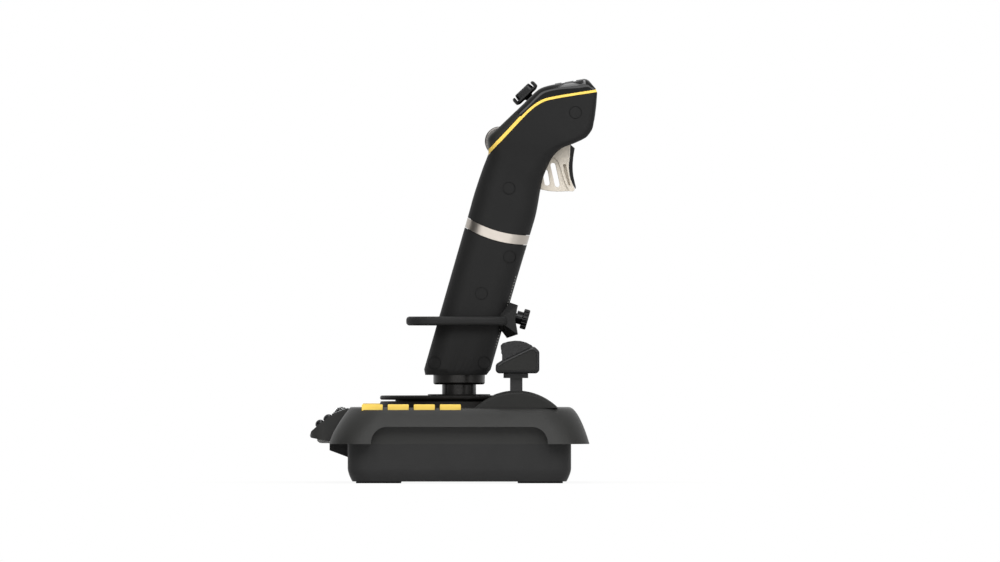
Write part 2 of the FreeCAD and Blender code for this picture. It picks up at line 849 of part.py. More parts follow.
def band_edge(middle):
    """Three points of a cut that sags across the handle, given its height at the handle's middle."""
    places = (grip_back - 8, 0, grip_front + 8)
    return [V(0, across, middle + band_sag * (across / grip_front) ** 2) for across in places]


def stripe_top():
    """Everything above the stripe's upper edge: the stripe is wider beside the matte panel."""
    beside = above_stripe(panel_stripe_width).common(panel_region())
    return above_stripe(stripe_width).cut(panel_region()).fuse(beside)


def below_edge(points):
    arc = Part.Arc(*points).toShape()
    low_back = V(0, points[0].y, -40)
    low_front = V(0, points[2].y, -40)
    corners = [points[2], low_front, low_back, points[0]]
    sides = [Part.makeLine(*pair) for pair in zip(corners, corners[1:])]
    face = Part.Face(Part.Wire([arc] + sides))
    face.translate(V(-60, 0, 0))
    return face.extrude(V(120, 0, 0))


band_top = band_edge(band_middle + band_height)
band_foot = band_edge(band_middle)


def screw_seat(place):
    """Half the length of a screw's shank: the screws beside the core are shorter than those through it."""
    return core_radius + 3 if abs(place[0]) < core_radius else core_radius - 1


def across_rod(radius, place, x_low, x_high):
    y, z = place
    return rod(radius, V(x_low, y, z), V(x_high, y, z))


def side_rod(radius, place, side, start):
    """A rod across one half of the handle, from a distance off its middle plane outwards."""
    return across_rod(radius, place, *sorted((side * start, side * 60)))


def grip_half(places, inner, region, cuts, side):
    """One half of a grip casing with its screw bosses, for the region that it fills."""
    form = grip_form(0)
    half_space = box(0, 60, -60, 90, -60, 300) if side > 0 else box(-60, 0, -60, 90, -60, 300)
    skin = form.cut(inner)
    bosses = []
    holes = []
    for place in places:
        start = core_radius + fit_clearance if abs(place[0]) < core_radius else 0
        bosses.append(side_rod(shank_radius + 2, place, side, start).common(form))
        plug = side_rod(plug_radius + fit_clearance, place, side, 4)
        holes.append(plug.cut(grip_form(plug_depth + fit_clearance)))
        holes.append(across_rod(shank_radius + fit_clearance, place, -16, 30))
        if side > 0:
            holes.append(across_rod(shank_radius * 2 + fit_clearance, place, screw_seat(place), 30))
    return joined([skin] + bosses).common(half_space).common(region).cut(cuts + holes)


def lower_region():
    return below_edge([point - V(0, 0, band_gap) for point in band_foot])


def upper_region():
    whole = box(-60, 60, -60, 90, 60, 300)
    return whole.cut([below_edge([point + V(0, 0, band_gap) for point in band_top]), above_stripe(0)])


def foot_section(height, grow):
    """A level section of the handle, as (y, z) ends in the joystick's frame."""
    slope = math.tan(math.radians(lean))
    start = stick_y + grip_shift + (height - grip_bottom) * slope
    stretch = 1 / math.cos(math.radians(lean))
    back = (start + grip_back * stretch - grow, height)
    front = (start + grip_front * stretch + grow, height)
    return section(grip_half_width + grow, back, front, grip_corner + grow)


def foot_space():
    """What the handle's foot keeps to, in the handle's own frame: level below, drawn in to its rim."""
    rise = grip_bottom + foot_rise
    levels = [(grip_bottom, -foot_draw), (rise, 0.3), (rise + 120, 12)]
    space = loft([foot_section(*level) for level in levels])
    space.Placement = grip_placed(Part.makeBox(1, 1, 1)).Placement.inverse()
    return space


def wheel_slot():
    reach = wheel_half_width + 0.5
    return across_rod(wheel_radius + 0.6, (wheel_across, wheel_along), -reach, reach)


def trigger_slot():
    reach = trigger_half_width + trigger_clearance
    return box(-reach, reach, 11, 37.3, 138, 182.5)


def pivot_bosses(side):
    """The two ends of the trigger's pin sit in these bosses of the upper grip."""
    reach = trigger_half_width + trigger_clearance
    place = (pivot_across, pivot_along)
    return side_rod(pin_radius + 2, place, side, reach)


def make_lower_half(inner, side):
    region = lower_region().common(foot_space())
    return grip_half(lower_plugs, inner, region, [], side)


def make_upper_half(inner, side):
    region = upper_region()
    half = grip_half(upper_plugs, inner, region, [wheel_slot(), trigger_slot()], side)
    boss = pivot_bosses(side).common(grip_form(0)).common(region)
    bore = across_rod(pin_radius + running_clearance, (pivot_across, pivot_along), -16, 16)
    return joined([half, boss]).cut(bore)


def make_grip_band(inner):
    upper = below_edge([point - V(0, 0, band_gap) for point in band_top])
    lower = below_edge([point + V(0, 0, band_gap) for point in band_foot])
    return grip_form(0).cut(inner).common(upper).cut(lower)


def make_trim_strip(inner):
    skin = grip_form(0).cut(inner).common(above_stripe(0))
    return skin.cut([stripe_top(), wheel_slot()])


def cover_slope():
    return V(0, cover_bend[0] - cover_foot[0], cover_bend[1] - cover_foot[1]).normalize()


def cover_normal():
    slope = cover_slope()
    return V(0, -slope.z, slope.y)


def hat_centre():
    return V(0, *cover_foot) + cover_slope() * hat_rise - cover_normal() * hat_depth


def head_buttons():
    """Name, place (across, along) and length of each button on top of the head."""
    return [("head_button_rear", (12.4, 212.5), 4.6), ("head_button_middle", (19.3, 215.6), 6.2),
            ("head_button_front", (26.4, 219.1), 6.0)]


def head_bar(place, length, grow, low, high):
    """A bar across the head, square to its top face, from a depth below the face to a height above it."""
    bar = box(-head_button_half_width - grow, head_button_half_width + grow,
              -length / 2 - grow, length / 2 + grow, low, high)
    bar.Placement = FreeCAD.Placement(V(0, *place), FreeCAD.Rotation(V(1, 0, 0), head_button_turn))
    return bar


def make_head_cover(inner):
    region = stripe_top().cut(panel_region())
    skin = grip_form(0).cut(inner).common(region)
    centre = hat_centre()
    ears = []
    for side in (-1, 1):
        x_low, x_high = sorted((side * 5.2, side * 7.4))
        ear = box(x_low, x_high, -3, 3, -3, hat_depth + 1)
        ear.Placement = FreeCAD.Placement(centre, FreeCAD.Rotation(V(0, 0, 1), cover_normal()))
        ears.append(ear.common(grip_form(0.6)).common(region))
    clear = hat_stem_radius + hat_depth * math.tan(math.radians(17)) + 0.5
    cuts = [rod(clear, centre + cover_normal() * 3.6, centre + cover_normal() * 20)]
    cuts.append(across_rod(hat_pin_radius + running_clearance, (centre.y, centre.z), -8, 8))
    for _, place, length in head_buttons():
        cuts.append(head_bar(place, length, button_clearance, -6, 4))
    return joined([skin] + ears).cut(cuts)


def make_head_panel(inner):
    region = stripe_top().common(panel_region())
    skin = grip_form(0).cut(inner).common(region)
    seat = inner.fuse(region)
    ears = []
    for side in (-1, 1):
        x_low, x_high = sorted((side * 5.2, side * 7.6))
        ear = box(x_low, x_high, wheel_across - 3, wheel_across + 4, wheel_along - 3, wheel_along + 14)
        ears.append(ear.common(grip_form(0.6)).common(seat))
    bore = across_rod(pin_radius + running_clearance, (wheel_across, wheel_along), -9, 9)
    return joined([skin] + ears).cut([wheel_slot(), bore])


def make_screw_plugs():
    form = grip_form(0)
    floor = grip_form(plug_depth)
    plugs = []
    for place in upper_plugs + lower_plugs:
        for side in (-1, 1):
            plug = side_rod(plug_radius, place, side, 4)
            plugs.append(plug.common(form).cut(floor))
    return Part.makeCompound([solid for plug in plugs for solid in plug.Solids])


def make_grip_screws():
    screws = []
    for place in upper_plugs + lower_plugs:
        seat = screw_seat(place)
        head = across_rod(shank_radius * 2 - fit_clearance, place, seat, seat + 1.4)
        screws.append(joined([across_rod(shank_radius, place, -seat, seat), head]))
    return Part.makeCompound(screws)


def make_pivot_pins():
    return Part.makeCompound([
        across_rod(pin_radius, (pivot_across, pivot_along), -15.5, 15.5),
        across_rod(pin_radius, (wheel_across, wheel_along), -7.6, 7.6),
    ])


def make_grip_core():
    """The tube that carries the handle on the shaft: it leans, and its foot block is upright."""
    tube = rod(core_radius, V(0, 0, 4), V(0, 0, core_top))
    block = rod(12, V(0, stick_y, grip_bottom), V(0, stick_y, grip_bottom + 12))
    core = joined([grip_placed(tube), block])
    hollow = rod(core_radius - core_wall, V(0, 0, 12), V(0, 0, core_top + 1))
    cuts = [grip_placed(hollow)]
    cuts.append(rod(spigot_radius, V(0, stick_y, grip_bottom - 1), V(0, stick_y, grip_bottom + 7.2)))
    for place in upper_plugs + lower_plugs:
        if abs(place[0]) < core_radius:
            cuts.append(grip_placed(across_rod(shank_radius + fit_clearance, place, -12, 12)))
    return core.cut(cuts)


# ---- trigger, wheel, hat and head buttons, in the handle's own frame

divider = [(22.2, 163.2), (26.6, 161.3), (29.6, 157.6), (32.9, 152.2), (37.2, 146.5), (40.1, 143.4)]
blade_front = [
    (42.6, 143.9), (43.9, 146.5), (42.1, 150.2), (39.6, 155.0), (37.6, 160.8), (36.2, 167.8), (35.4, 176.2),
    (35.0, 183.0),
]


def make_trigger_blade():
    outline = divider + blade_front + [(31.0, 187.0), (26.0, 186.0), (22.4, 172.0)]
    blade = prism(outline, -trigger_half_width, trigger_half_width)
    hub = across_rod(4.6, (pivot_across, pivot_along), -trigger_half_width, trigger_half_width)
    bore = across_rod(pin_radius + running_clearance, (pivot_across, pivot_along), -9, 9)
    pocket = [(30.9, 160.0), (32.9, 160.6), (37.6, 151.7), (40.0, 147.4), (38.7, 147.2), (33.2, 154.9)]
    faces = (-trigger_half_width, trigger_half_width)
    hollows = [prism(pocket, face - 1, face + 1) for face in faces]
    return joined([blade, hub]).cut([bore] + hollows)


def slot_between(top, foot, width):
    half = width / 2
    start = V(-20, *top)
    end = V(-20, *foot)
    along = (end - start).normalize()
    side = V(0, -along.z, along.y) * half
    corners = [start + side, end + side, end - side, start - side, start + side]
    body = Part.Face(Part.makePolygon(corners)).extrude(V(40, 0, 0))
    ends = [rod(half, point, point + V(40, 0, 0)) for point in (start, end)]
    return joined([body] + ends)


def make_trigger_web():
    half = trigger_half_width - 1.2
    foot = [(17.0, 139.0), (26.4, 139.6), (32.4, 140.9), (40.1, 143.4)]
    web = prism(foot + divider[::-1][1:] + [(17.0, 163.2)], -half, half)
    first = slot_between((24.4, 157.4), (30.9, 145.4), 3.4)
    second = slot_between((20.6, 151.4), (23.9, 144.6), 3.6)
    return web.cut([first, second])


def make_trim_wheel():
    place = (wheel_across, wheel_along)
    wheel = across_rod(wheel_radius, place, -wheel_half_width, wheel_half_width)
    rims = [edge for edge in wheel.Edges if edge.BoundBox.XLength < 0.1]
    return wheel.makeFillet(1.2, rims).cut(across_rod(pin_radius + running_clearance, place, -9, 9))


def hat_placed(shape):
    shape.Placement = FreeCAD.Placement(hat_centre(), FreeCAD.Rotation(V(0, 0, 1), cover_normal()))
    return shape


def make_hat_cross():
    """The cross piece under the hat: pins along X sit in the cover, pins along the slope carry the hat."""
    block = box(-2.4, 2.4, -2.4, 2.4, -2.4, 2.4)
    pins = [rod(hat_pin_radius, -end, end) for end in (V(7.3, 0, 0), V(0, 4.2, 0))]
    return hat_placed(joined([block] + pins))


def make_hat_cap():
    plate_low = hat_depth + hat_gap
    plate_high = plate_low + hat_plate
    half = hat_cap_length / 2
    stem = rod(hat_stem_radius, V(0, 0, 3.6), V(0, 0, plate_low + 1))
    bridge = box(-2, 2, -4.2, 4.2, 2.9, 4.1)
    ears = [box(-2, 2, *sorted((side * 2.9, side * 4.2)), -1.9, 4.1) for side in (-1, 1)]
    levels = [(hat_rim_run, plate_low), (0, plate_low + hat_rim_lift), (0, plate_high)]
    plate = loft([
        section(hat_cap_width / 2 - draw, (draw - half, z), (half - draw, z), 4 - draw) for draw, z in levels
    ])
    lip_high = plate_high + hat_lip_height
    outline = rounded_block(hat_cap_width / 2, -half, half, plate_low, lip_high, 4)
    lip_places = [sorted((side * half, side * (half - hat_lip_length))) for side in (-1, 1)]
    lips = [box(-10, 10, *place, plate_high, lip_high) for place in lip_places]
    block_half = hat_block_length / 2
    block_high = plate_high + hat_block_height
    block = rounded_block(hat_cap_width / 2 - 1.5, -block_half, block_half, plate_high - 1, block_high, 3)
    bore = rod(hat_pin_radius + running_clearance, V(0, -6, 0), V(0, 6, 0))
    parts = [stem, bridge, plate, block] + [lip.common(outline) for lip in lips] + ears
    return hat_placed(joined(parts).cut(bore))


def make_head_button(place, length):
    return head_bar(place, length, 0, -4.2, head_button_height)


# ---- hand rest and its screw

def grown_handle():
    half = grip_half_width + rest_clearance
    back = grip_back - rest_clearance
    front = grip_front + rest_clearance
    corner = grip_corner + rest_clearance
    return loft([section(half, (back, z), (front, z), corner) for z in (10, 95)])


def make_hand_rest():
    plate = rounded_block(rest_half_width, rest_back, 39.0, rest_bottom, rest_bottom + rest_thickness, 20)
    low, high = rest_bottom, rest_bottom + rest_thickness
    clamp = prism([
        (25.0, high - 1), (25.3, high + 1.1), (38.6, high + 9.7), (44.1, high + 7.8), (42.2, high - 1.5),
        (44.1, low - 6.1), (36.4, low - 8.7), (35.5, low - 6.1), (33.0, low - 4.2), (25.9, low - 0.3),
        (25.0, low + 1),
    ], -clamp_half_width, clamp_half_width)
    outside = V(0, 50, thumb_screw_along)
    bore = rod(thumb_shank_radius + running_clearance, V(0, 15, thumb_screw_along), outside)
    counterbore = rod(thumb_shoulder_radius + 0.2, V(0, 28.6, thumb_screw_along), outside)
    cuts = [grip_placed(shape) for shape in (grown_handle(), bore, counterbore)]
    return joined([plate, clamp]).cut(cuts)


def make_thumb_screw():
    def along(across):
        return V(0, across, thumb_screw_along)
    shank = rod(thumb_shank_radius, along(grip_front + 0.3), along(29.0))
    shoulder = rod(thumb_shoulder_radius, along(28.8), along(33.2))
    head = rod(thumb_head_radius, along(33.0), along(37.2))
    rims = [edge for edge in head.Edges if edge.BoundBox.YLength < 0.1]
    head = head.makeFillet(0.8, rims)
    notches = []
    count = 18
    for index in range(count):
        angle = 2 * math.pi * index / count
        spot = V(thumb_head_radius * math.cos(angle), 0, thumb_head_radius * math.sin(angle))
        notches.append(rod(0.7, along(32.0) + spot, along(38.0) + spot))
    return joined([shank, shoulder, head.cut(notches)])


# ---- throttle

def fan(radius_low, radius_high, angle, half_width):
    """A sector of a ring about the throttle's axle, spread both ways from straight up."""
    steps = 12
    points = []
    for radius, order in ((radius_high, 1), (radius_low, -1)):
        for step in range(steps + 1):
            turn = math.radians(angle) * (2 * step / steps - 1) * order
            points.append((throttle_y + radius * math.sin(turn), throttle_z + radius * math.cos(turn)))
    return prism(points, -half_width, half_width)


def throttle_rod(radius, half_width):
    return rod(radius, V(-half_width, throttle_y, throttle_z), V(half_width, throttle_y, throttle_z))


def make_throttle_dome():
    dome = throttle_rod(dome_radius, dome_half_width)
    rims = [edge for edge in dome.Edges if edge.BoundBox.XLength < 0.1]
    hollow = throttle_rod(dome_radius - dome_wall, dome_half_width - dome_wall)
    dome = dome.makeFillet(2.0, rims).cut(hollow)
    opening = lever_range + math.degrees(math.asin(lever_width / 2 / dome_radius)) + 1.5
    slot = fan(dome_radius - 8, dome_radius + 5, opening, lever_half_thickness + 0.6)
    return dome.common(box(-50, 50, -50, 150, shell_top, 100)).cut(slot)


def lever_bar(foot):
    """The lever's straight part, which the knob's socket also follows."""
    back = throttle_y - lever_width / 2
    front = throttle_y + lever_width / 2
    return box(-lever_half_thickness, lever_half_thickness, back, front, foot, lever_top)


def make_throttle_lever():
    hub = throttle_rod(8, lever_half_thickness + 2)
    axle = throttle_rod(axle_radius, axle_half)
    arm = lever_bar(throttle_z)
    outer = dome_radius - dome_wall - 1.0
    shield = fan(outer - 1.6, outer, 37, lever_half_thickness + 1.2)
    bracket = rounded_block(6, throttle_y - 8.8, throttle_y + 8.2, 72.3, 75.4, 3)
    return joined([hub, axle, arm, shield, bracket])


# outlines of the knob's cheeks and body: y from the throttle's axle, z from the table
knob_face = [
    (-14.4, 77.0), (-12.9, 75.5), (13.9, 75.5), (15.9, 77.3), (15.9, 89.8), (13.5, 92.8), (10.1, 93.5),
    (2.5, 90.6), (-9.0, 84.0), (-13.9, 81.4),
]
knob_back = [
    (-9.5, 78.0), (14.1, 78.0), (14.5, 90.0), (11.6, 93.8), (7.1, 96.4), (3.1, 97.5), (-0.9, 97.8),
    (-5.4, 97.4), (-9.0, 96.3), (-10.7, 94.7),
]
knob_floor = [(-12.9, 75.5), (13.9, 75.5), (13.9, 79.0), (-9.9, 79.0)]


def knob_prism(outline, x_low, x_high):
    return prism([(throttle_y + y, z) for y, z in outline], x_low, x_high)


def make_throttle_knob():
    inner = knob_half_width - knob_cap
    caps = [knob_prism(knob_face, *sorted((side * knob_half_width, side * inner))) for side in (-1, 1)]
    body = knob_prism(knob_back, -inner, inner)
    floor = knob_prism(knob_floor, -knob_half_width, knob_half_width)
    return joined(caps + [body, floor]).cut(lever_bar(70))


def both_sides(name, shape):
    left = shape.copy()
    left.translate(V(-throttle_x, 0, 0))
    right = shape.copy()
    right.translate(V(throttle_x, 0, 0))
    return {name + "_left": left, name + "_right": right}


# ---- the whole joystick

def make_nodes():
    inner = grip_form(grip_wall)
    nodes = {
        "base_tub": make_base_tub(),
        "base_top_shell": make_base_top_shell(),
        "nose_panel": make_nose_panel(),
        "headset_jack": make_headset_jack(),
        "usb_socket": make_usb_socket(),
        "rubber_feet": make_rubber_feet(),
        "tub_screws": make_tub_screws(),
        "main_board": make_main_board(),
        "weight_plate": make_weight_plate(),
        "deck_plate": make_deck_plate(),
        "dust_keeper": make_dust_keeper(),
        "cover_disc": make_cover_disc(),
        "gimbal_cradle": make_gimbal_cradle(),
        "roll_frame": make_roll_frame(),
        "roll_spring": make_roll_spring(),
        "pitch_pins": make_pitch_pins(),
        "pitch_spring": make_pitch_spring(),
        "pitch_hub": make_pitch_hub(),
        "twist_spring": make_twist_spring(),
        "shaft": make_shaft(),
        "shaft_nut": make_shaft_nut(),
        "shaft_collar": make_shaft_collar(),
        "grip_core": make_grip_core(),
        "hand_rest": make_hand_rest(),
    }
    leaning = {
        "grip_lower_left": make_lower_half(inner, -1),
        "grip_lower_right": make_lower_half(inner, 1),
        "grip_band": make_grip_band(inner),
        "grip_upper_left": make_upper_half(inner, -1),
        "grip_upper_right": make_upper_half(inner, 1),
        "trim_strip": make_trim_strip(inner),
        "head_panel": make_head_panel(inner),
        "head_cover": make_head_cover(inner),
        "screw_plugs": make_screw_plugs(),
        "grip_screws": make_grip_screws(),
        "pivot_pins": make_pivot_pins(),
        "trigger_blade": make_trigger_blade(),
        "trigger_web": make_trigger_web(),
        "trim_wheel": make_trim_wheel(),
        "hat_cross": make_hat_cross(),
        "hat_cap": make_hat_cap(),
        "thumb_screw": make_thumb_screw(),
    }
    for name, place, length in head_buttons():
        leaning[name] = make_head_button(place, length)
    nodes.update({name: grip_placed(shape) for name, shape in leaning.items()})
    for name, face, radius, height in nose_buttons():
        nodes[name] = nose_button(face, radius, height)
    for side, word in ((-1, "left"), (1, "right")):
        for row, y in enumerate(key_places()):
            key = key_block(side, y, 0, key_bottom, key_top)
            top = [edge for edge in key.Edges if edge.BoundBox.ZMin > key_top - 0.1]
            nodes["key_%s_%d" % (word, row + 1)] = key.makeFillet(0.6, top)
    dome = make_throttle_dome()
    nodes["throttle_domes"] = Part.makeCompound(list(both_sides("dome", dome).values()))
    nodes.update(both_sides("throttle_lever", make_throttle_lever()))
    nodes.update(both_sides("throttle_knob", make_throttle_knob()))
    return nodes


def main():
    os.makedirs("parts", exist_ok=True)
    for name, shape in make_nodes().items():
        solids = shape.Solids
        body = solids[0] if len(solids) == 1 else Part.makeCompound(solids)
        print(name, len(solids), body.isValid(), round(body.Volume))
        body.exportStep("parts/%s.step" % name)


main()
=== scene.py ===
import math

import bmesh
import bpy
import numpy as np
from mathutils import Matrix, Vector


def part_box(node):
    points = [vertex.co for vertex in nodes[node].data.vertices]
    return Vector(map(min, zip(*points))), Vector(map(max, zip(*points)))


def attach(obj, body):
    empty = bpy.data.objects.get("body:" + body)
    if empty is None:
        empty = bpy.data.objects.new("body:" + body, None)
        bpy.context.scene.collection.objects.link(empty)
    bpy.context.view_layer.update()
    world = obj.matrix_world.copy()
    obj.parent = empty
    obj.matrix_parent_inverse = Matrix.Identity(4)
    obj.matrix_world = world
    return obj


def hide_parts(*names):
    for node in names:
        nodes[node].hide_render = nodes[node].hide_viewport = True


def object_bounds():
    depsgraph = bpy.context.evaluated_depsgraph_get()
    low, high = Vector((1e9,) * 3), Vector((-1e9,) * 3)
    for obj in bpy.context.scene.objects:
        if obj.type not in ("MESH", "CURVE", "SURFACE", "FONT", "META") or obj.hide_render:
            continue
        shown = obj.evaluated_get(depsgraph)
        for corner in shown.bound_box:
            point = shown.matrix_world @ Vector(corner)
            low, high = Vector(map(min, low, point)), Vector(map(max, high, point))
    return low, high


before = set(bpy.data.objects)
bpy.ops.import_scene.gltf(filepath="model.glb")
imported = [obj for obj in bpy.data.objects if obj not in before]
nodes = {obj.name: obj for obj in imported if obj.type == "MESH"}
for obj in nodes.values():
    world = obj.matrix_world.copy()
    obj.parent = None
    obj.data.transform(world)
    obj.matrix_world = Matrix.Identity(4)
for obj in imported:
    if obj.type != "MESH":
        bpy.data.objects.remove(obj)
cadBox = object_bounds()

# Lengths in this file are millimetres until place() turns them into metres.
mm = 0.001
print("frame loaded:", len(nodes), "nodes")


# The low and high corner of a CAD node's box.
def boxOf(name):
    return [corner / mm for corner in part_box(name)]


def toLinear(hexColour):
    channels = [int(hexColour[i:i + 2], 16) / 255 for i in (1, 3, 5)]
    return [c / 12.92 if c <= 0.04045 else ((c + 0.055) / 1.055) ** 2.4 for c in channels] + [1.0]


def addNode(material, kind, settings=None, links=None):
    node = material.node_tree.nodes.new("ShaderNode" + kind)
    for key, value in (settings or {}).items():
        if isinstance(key, str) and hasattr(node, key):
            setattr(node, key, value)
        else:
            node.inputs[key].default_value = value
    for key, source in (links or {}).items():
        material.node_tree.links.new(source, node.inputs[key])
    return node


# A noise whose features are so many mm wide.
def noiseOf(material, size, detail, spot):
    settings = {"Scale": 1 / (size * mm), "Detail": detail}
    return addNode(material, "TexNoise", settings, {"Vector": spot}).outputs["Fac"]


def addBump(material, relief, depth, height):
    bump = addNode(material, "Bump", {"Strength": relief, "Distance": depth * mm}, {"Height": height})
    principled = material.node_tree.nodes["Principled BSDF"]
    material.node_tree.links.new(bump.outputs["Normal"], principled.inputs["Normal"])


# A moulded or coated surface: mottled colour, uneven gloss and a fine grain. Cloud and grain sizes are mm.
surfaceForm = {"cloud": 18, "depth": 0.3, "from": 0.3, "to": 0.7}
finishes = {}


def surface(name, colour, roughness, grain=0.6, relief=0.12, mottle=0.1, spread=0.06, specular=0.06,
            metallic=None, shader=None):
    material = bpy.data.materials.new(name)
    material.use_nodes = True
    principled = material.node_tree.nodes["Principled BSDF"]
    own = {"Metallic": metallic} if metallic else {"Specular IOR Level": specular}
    for key, value in (own | (shader or {})).items():
        principled.inputs[key].default_value = value
    spot = addNode(material, "TexCoord").outputs["Object"]
    base = toLinear(colour)
    tint = addNode(material, "Mix", {
        "data_type": "RGBA",
        6: [c * (1 - mottle) for c in base[:3]] + [1.0],
        7: [min(1.0, c * (1 + mottle)) for c in base[:3]] + [1.0],
    }, {0: noiseOf(material, surfaceForm["cloud"], 4.0, spot)})
    noise = noiseOf(material, grain, 3.0, spot)
    gloss = addNode(material, "MapRange", {
        "From Min": surfaceForm["from"], "From Max": surfaceForm["to"],
        "To Min": roughness - spread, "To Max": roughness + spread,
    }, {"Value": noise})
    addBump(material, relief, grain * surfaceForm["depth"], noise)
    links = material.node_tree.links
    links.new(tint.outputs[2], principled.inputs["Base Color"])
    links.new(gloss.outputs["Result"], principled.inputs["Roughness"])
    finishes[name] = material
    return material


# The lines of a brushed or turned finish: a noise stretched along the brushing, each line so many mm wide.
def brushed(name, colour, roughness, line, stretch, metallic, relief=0.06):
    material = surface(name, colour, roughness, line, 0.0, 0.04, 0.05, metallic=metallic)
    spot = addNode(material, "TexCoord").outputs["Object"]
    squeeze = addNode(material, "Mapping", {"Scale": stretch}, {"Vector": spot})
    addBump(material, relief, 0.1, noiseOf(material, line, 2.0, squeeze.outputs["Vector"]))


# spark-eroded ABS: a fine matt grain that hides the mould's flow
surface("sparkedAbs", "#2d2d2c", 0.44, grain=0.7, relief=0.18, specular=0.14)
# the tub's ABS: a little finer in grain and drier than the shell's
surface("tubAbs", "#303030", 0.5, relief=0.18)
# soft-touch lacquer over the handle's ABS: even and dark, with a low wide sheen
surface("softTouchLacquer", "#232323", 0.5, grain=0.8, relief=0.08, mottle=0.05)
# matt ABS of the head's lower panel: a shade lighter and smoother than the lacquer
surface("panelAbs", "#2b2b29", 0.38, relief=0.08, mottle=0.06)
# piano-black ABS: mirror gloss with faint handling haze
surface("pianoBlackAbs", "#040405", 0.1, grain=6.0, relief=0.0, spread=0.03, specular=0.25)
# through-coloured yellow ABS with a satin face
surface("yellowAbs", "#f6d266", 0.36, grain=0.5, relief=0.05, mottle=0.03)
# satin nickel plate on the handle's band: warm grey, brushed round the handle
brushed("satinNickel", "#aca59d", 0.34, 0.4, (0.03, 0.03, 1), 1.0)
# champagne lacquer on the die-cast trigger: pale, warm and even
surface("champagneLacquer", "#cfc7ba", 0.34, grain=0.4, relief=0.04, mottle=0.03, spread=0.05)
# satin zinc alloy of the trim wheel: grey, and pale where it turns away
surface("satinAlloy", "#6a6764", 0.26, grain=0.5, relief=0.03, mottle=0.04, spread=0.05, metallic=0.8)
# pale grey ABS of the pad under the nose, matt
surface("greyAbs", "#a9a9a7", 0.45, relief=0.1)
# black oxide on turned steel: near black with a thin oily shine
brushed("blackOxide", "#1c1b1a", 0.3, 0.5, (0.02, 0.02, 1), 0.7, relief=0.04)
# ABS of the throttle's domes and the knobs' sides: darker and smoother than the shell; on the knobs' sunk
# sides it sits lighter than the near-black knob round it, so the raised rims read dark: painted shade
surface("slideAbs", "#2a2a29", 0.42, grain=0.7, relief=0.1)
# moulded nylon of the deck and the sliding cover: dark, dry and slightly grainy
surface("mouldedNylon", "#151413", 0.46, grain=0.5)
# glass-filled nylon of the levers: flecked and a little lighter
surface("filledNylon", "#383838", 0.42, relief=0.1)
# matt nylon of the hand rest, where the palm keeps it dull
surface("mattNylon", "#2a2a2a", 0.5, relief=0.14)
# satin polycarbonate on knobs, hat and thumb screw: dark with a clear soft highlight
surface("satinPolycarbonate", "#0e0e0f", 0.24, grain=0.5, relief=0.05, mottle=0.06, specular=0.22)
# polished polycarbonate of the small buttons: sharp highlights on near black
surface("polishedPolycarbonate", "#111112", 0.16, grain=0.8, relief=0.02, mottle=0.06, specular=0.3)
# moulded rubber of the feet: dull and nearly black
surface("mouldedRubber", "#262626", 0.75, grain=0.5, relief=0.2)
# zinc plate on pressed steel: cool bright grey with faint spangle
surface("zincPlate", "#a9adb0", 0.35, grain=1.5, relief=0.05, mottle=0.08, metallic=1.0)
# die-cast zinc of the gimbal: dull grey with a grainy skin
surface("dieCastZinc", "#8c8d8f", 0.5, grain=0.7, relief=0.25, metallic=1.0)
# drawn spring steel: bright, with a fine uneven gloss
surface("drawnSteel", "#b4b4b2", 0.25, grain=0.4, relief=0.04, mottle=0.05, metallic=1.0)
# green solder mask on a glass-fibre board: glossy and unevenly tinted
surface("solderMask", "#1d5a34", 0.35, grain=1.2, relief=0.1, mottle=0.15)
# clear acrylic: the light passes through it and glints at its rim
surface("clearAcrylic", "#f4f6f8", 0.06, relief=0.0, mottle=0.0, spread=0.02,
        shader={"Transmission Weight": 1.0, "IOR": 1.49})
# pad-printed white ink, thin and slightly worn
surface("paddedInk", "#bdbbb6", 0.6, grain=0.3, relief=0.1, mottle=0.2)
print("materials:", len(finishes))


def linked(name, data):
    item = bpy.data.objects.new(name, data)
    bpy.context.collection.objects.link(item)
    return item


def makeObject(name, points, faces):
    mesh = bpy.data.meshes.new(name)
    mesh.from_pydata([tuple(p) for p in points], [], faces)
    work = bmesh.new()
    work.from_mesh(mesh)
    bmesh.ops.recalc_face_normals(work, faces=work.faces)
    work.to_mesh(mesh)
    work.free()
    return linked(name, mesh)


# Joins closed loops of equal length into a closed solid with flat ends.
def loft(name, rings):
    count = len(rings[0])
    points = [p for ring in rings for p in ring]
    faces = [list(range(count))[::-1], [len(points) - count + i for i in range(count)]]
    for row in range(len(rings) - 1):
        for i in range(count):
            j = (i + 1) % count
            faces.append([row * count + i, row * count + j, (row + 1) * count + j, (row + 1) * count + i])
    return makeObject(name, points, faces)


# A rounded rectangle that spans X and the line from back to front, both (y, z).
def ringAround(halfWidth, back, front, corner, turnSteps=7, sideSteps=4):
    back = np.array(back, float)
    span = np.array(front, float) - back
    length = float(np.linalg.norm(span))
    along = span / length
    radius = max(0.05, min(corner, halfWidth - 0.5, length / 2 - 0.5))
    wide, far = halfWidth - radius, length - radius
    spots = []
    for x, end, first in ((wide, radius, -90), (wide, far, 0), (-wide, far, 90), (-wide, radius, 180)):
        for step in range(turnSteps + 1):
            angle = math.radians(first + 90 * step / turnSteps)
            spots.append((x + radius * math.cos(angle), end + radius * math.sin(angle)))
    flat = []
    for index, spot in enumerate(spots):
        flat.append(spot)
        if index % (turnSteps + 1) == turnSteps:
            after = spots[(index + 1) % len(spots)]
            for step in range(1, sideSteps):
                share = step / sideSteps
                flat.append(tuple(a + (b - a) * share for a, b in zip(spot, after)))
    return [(x, *(back + along * s)) for x, s in flat]


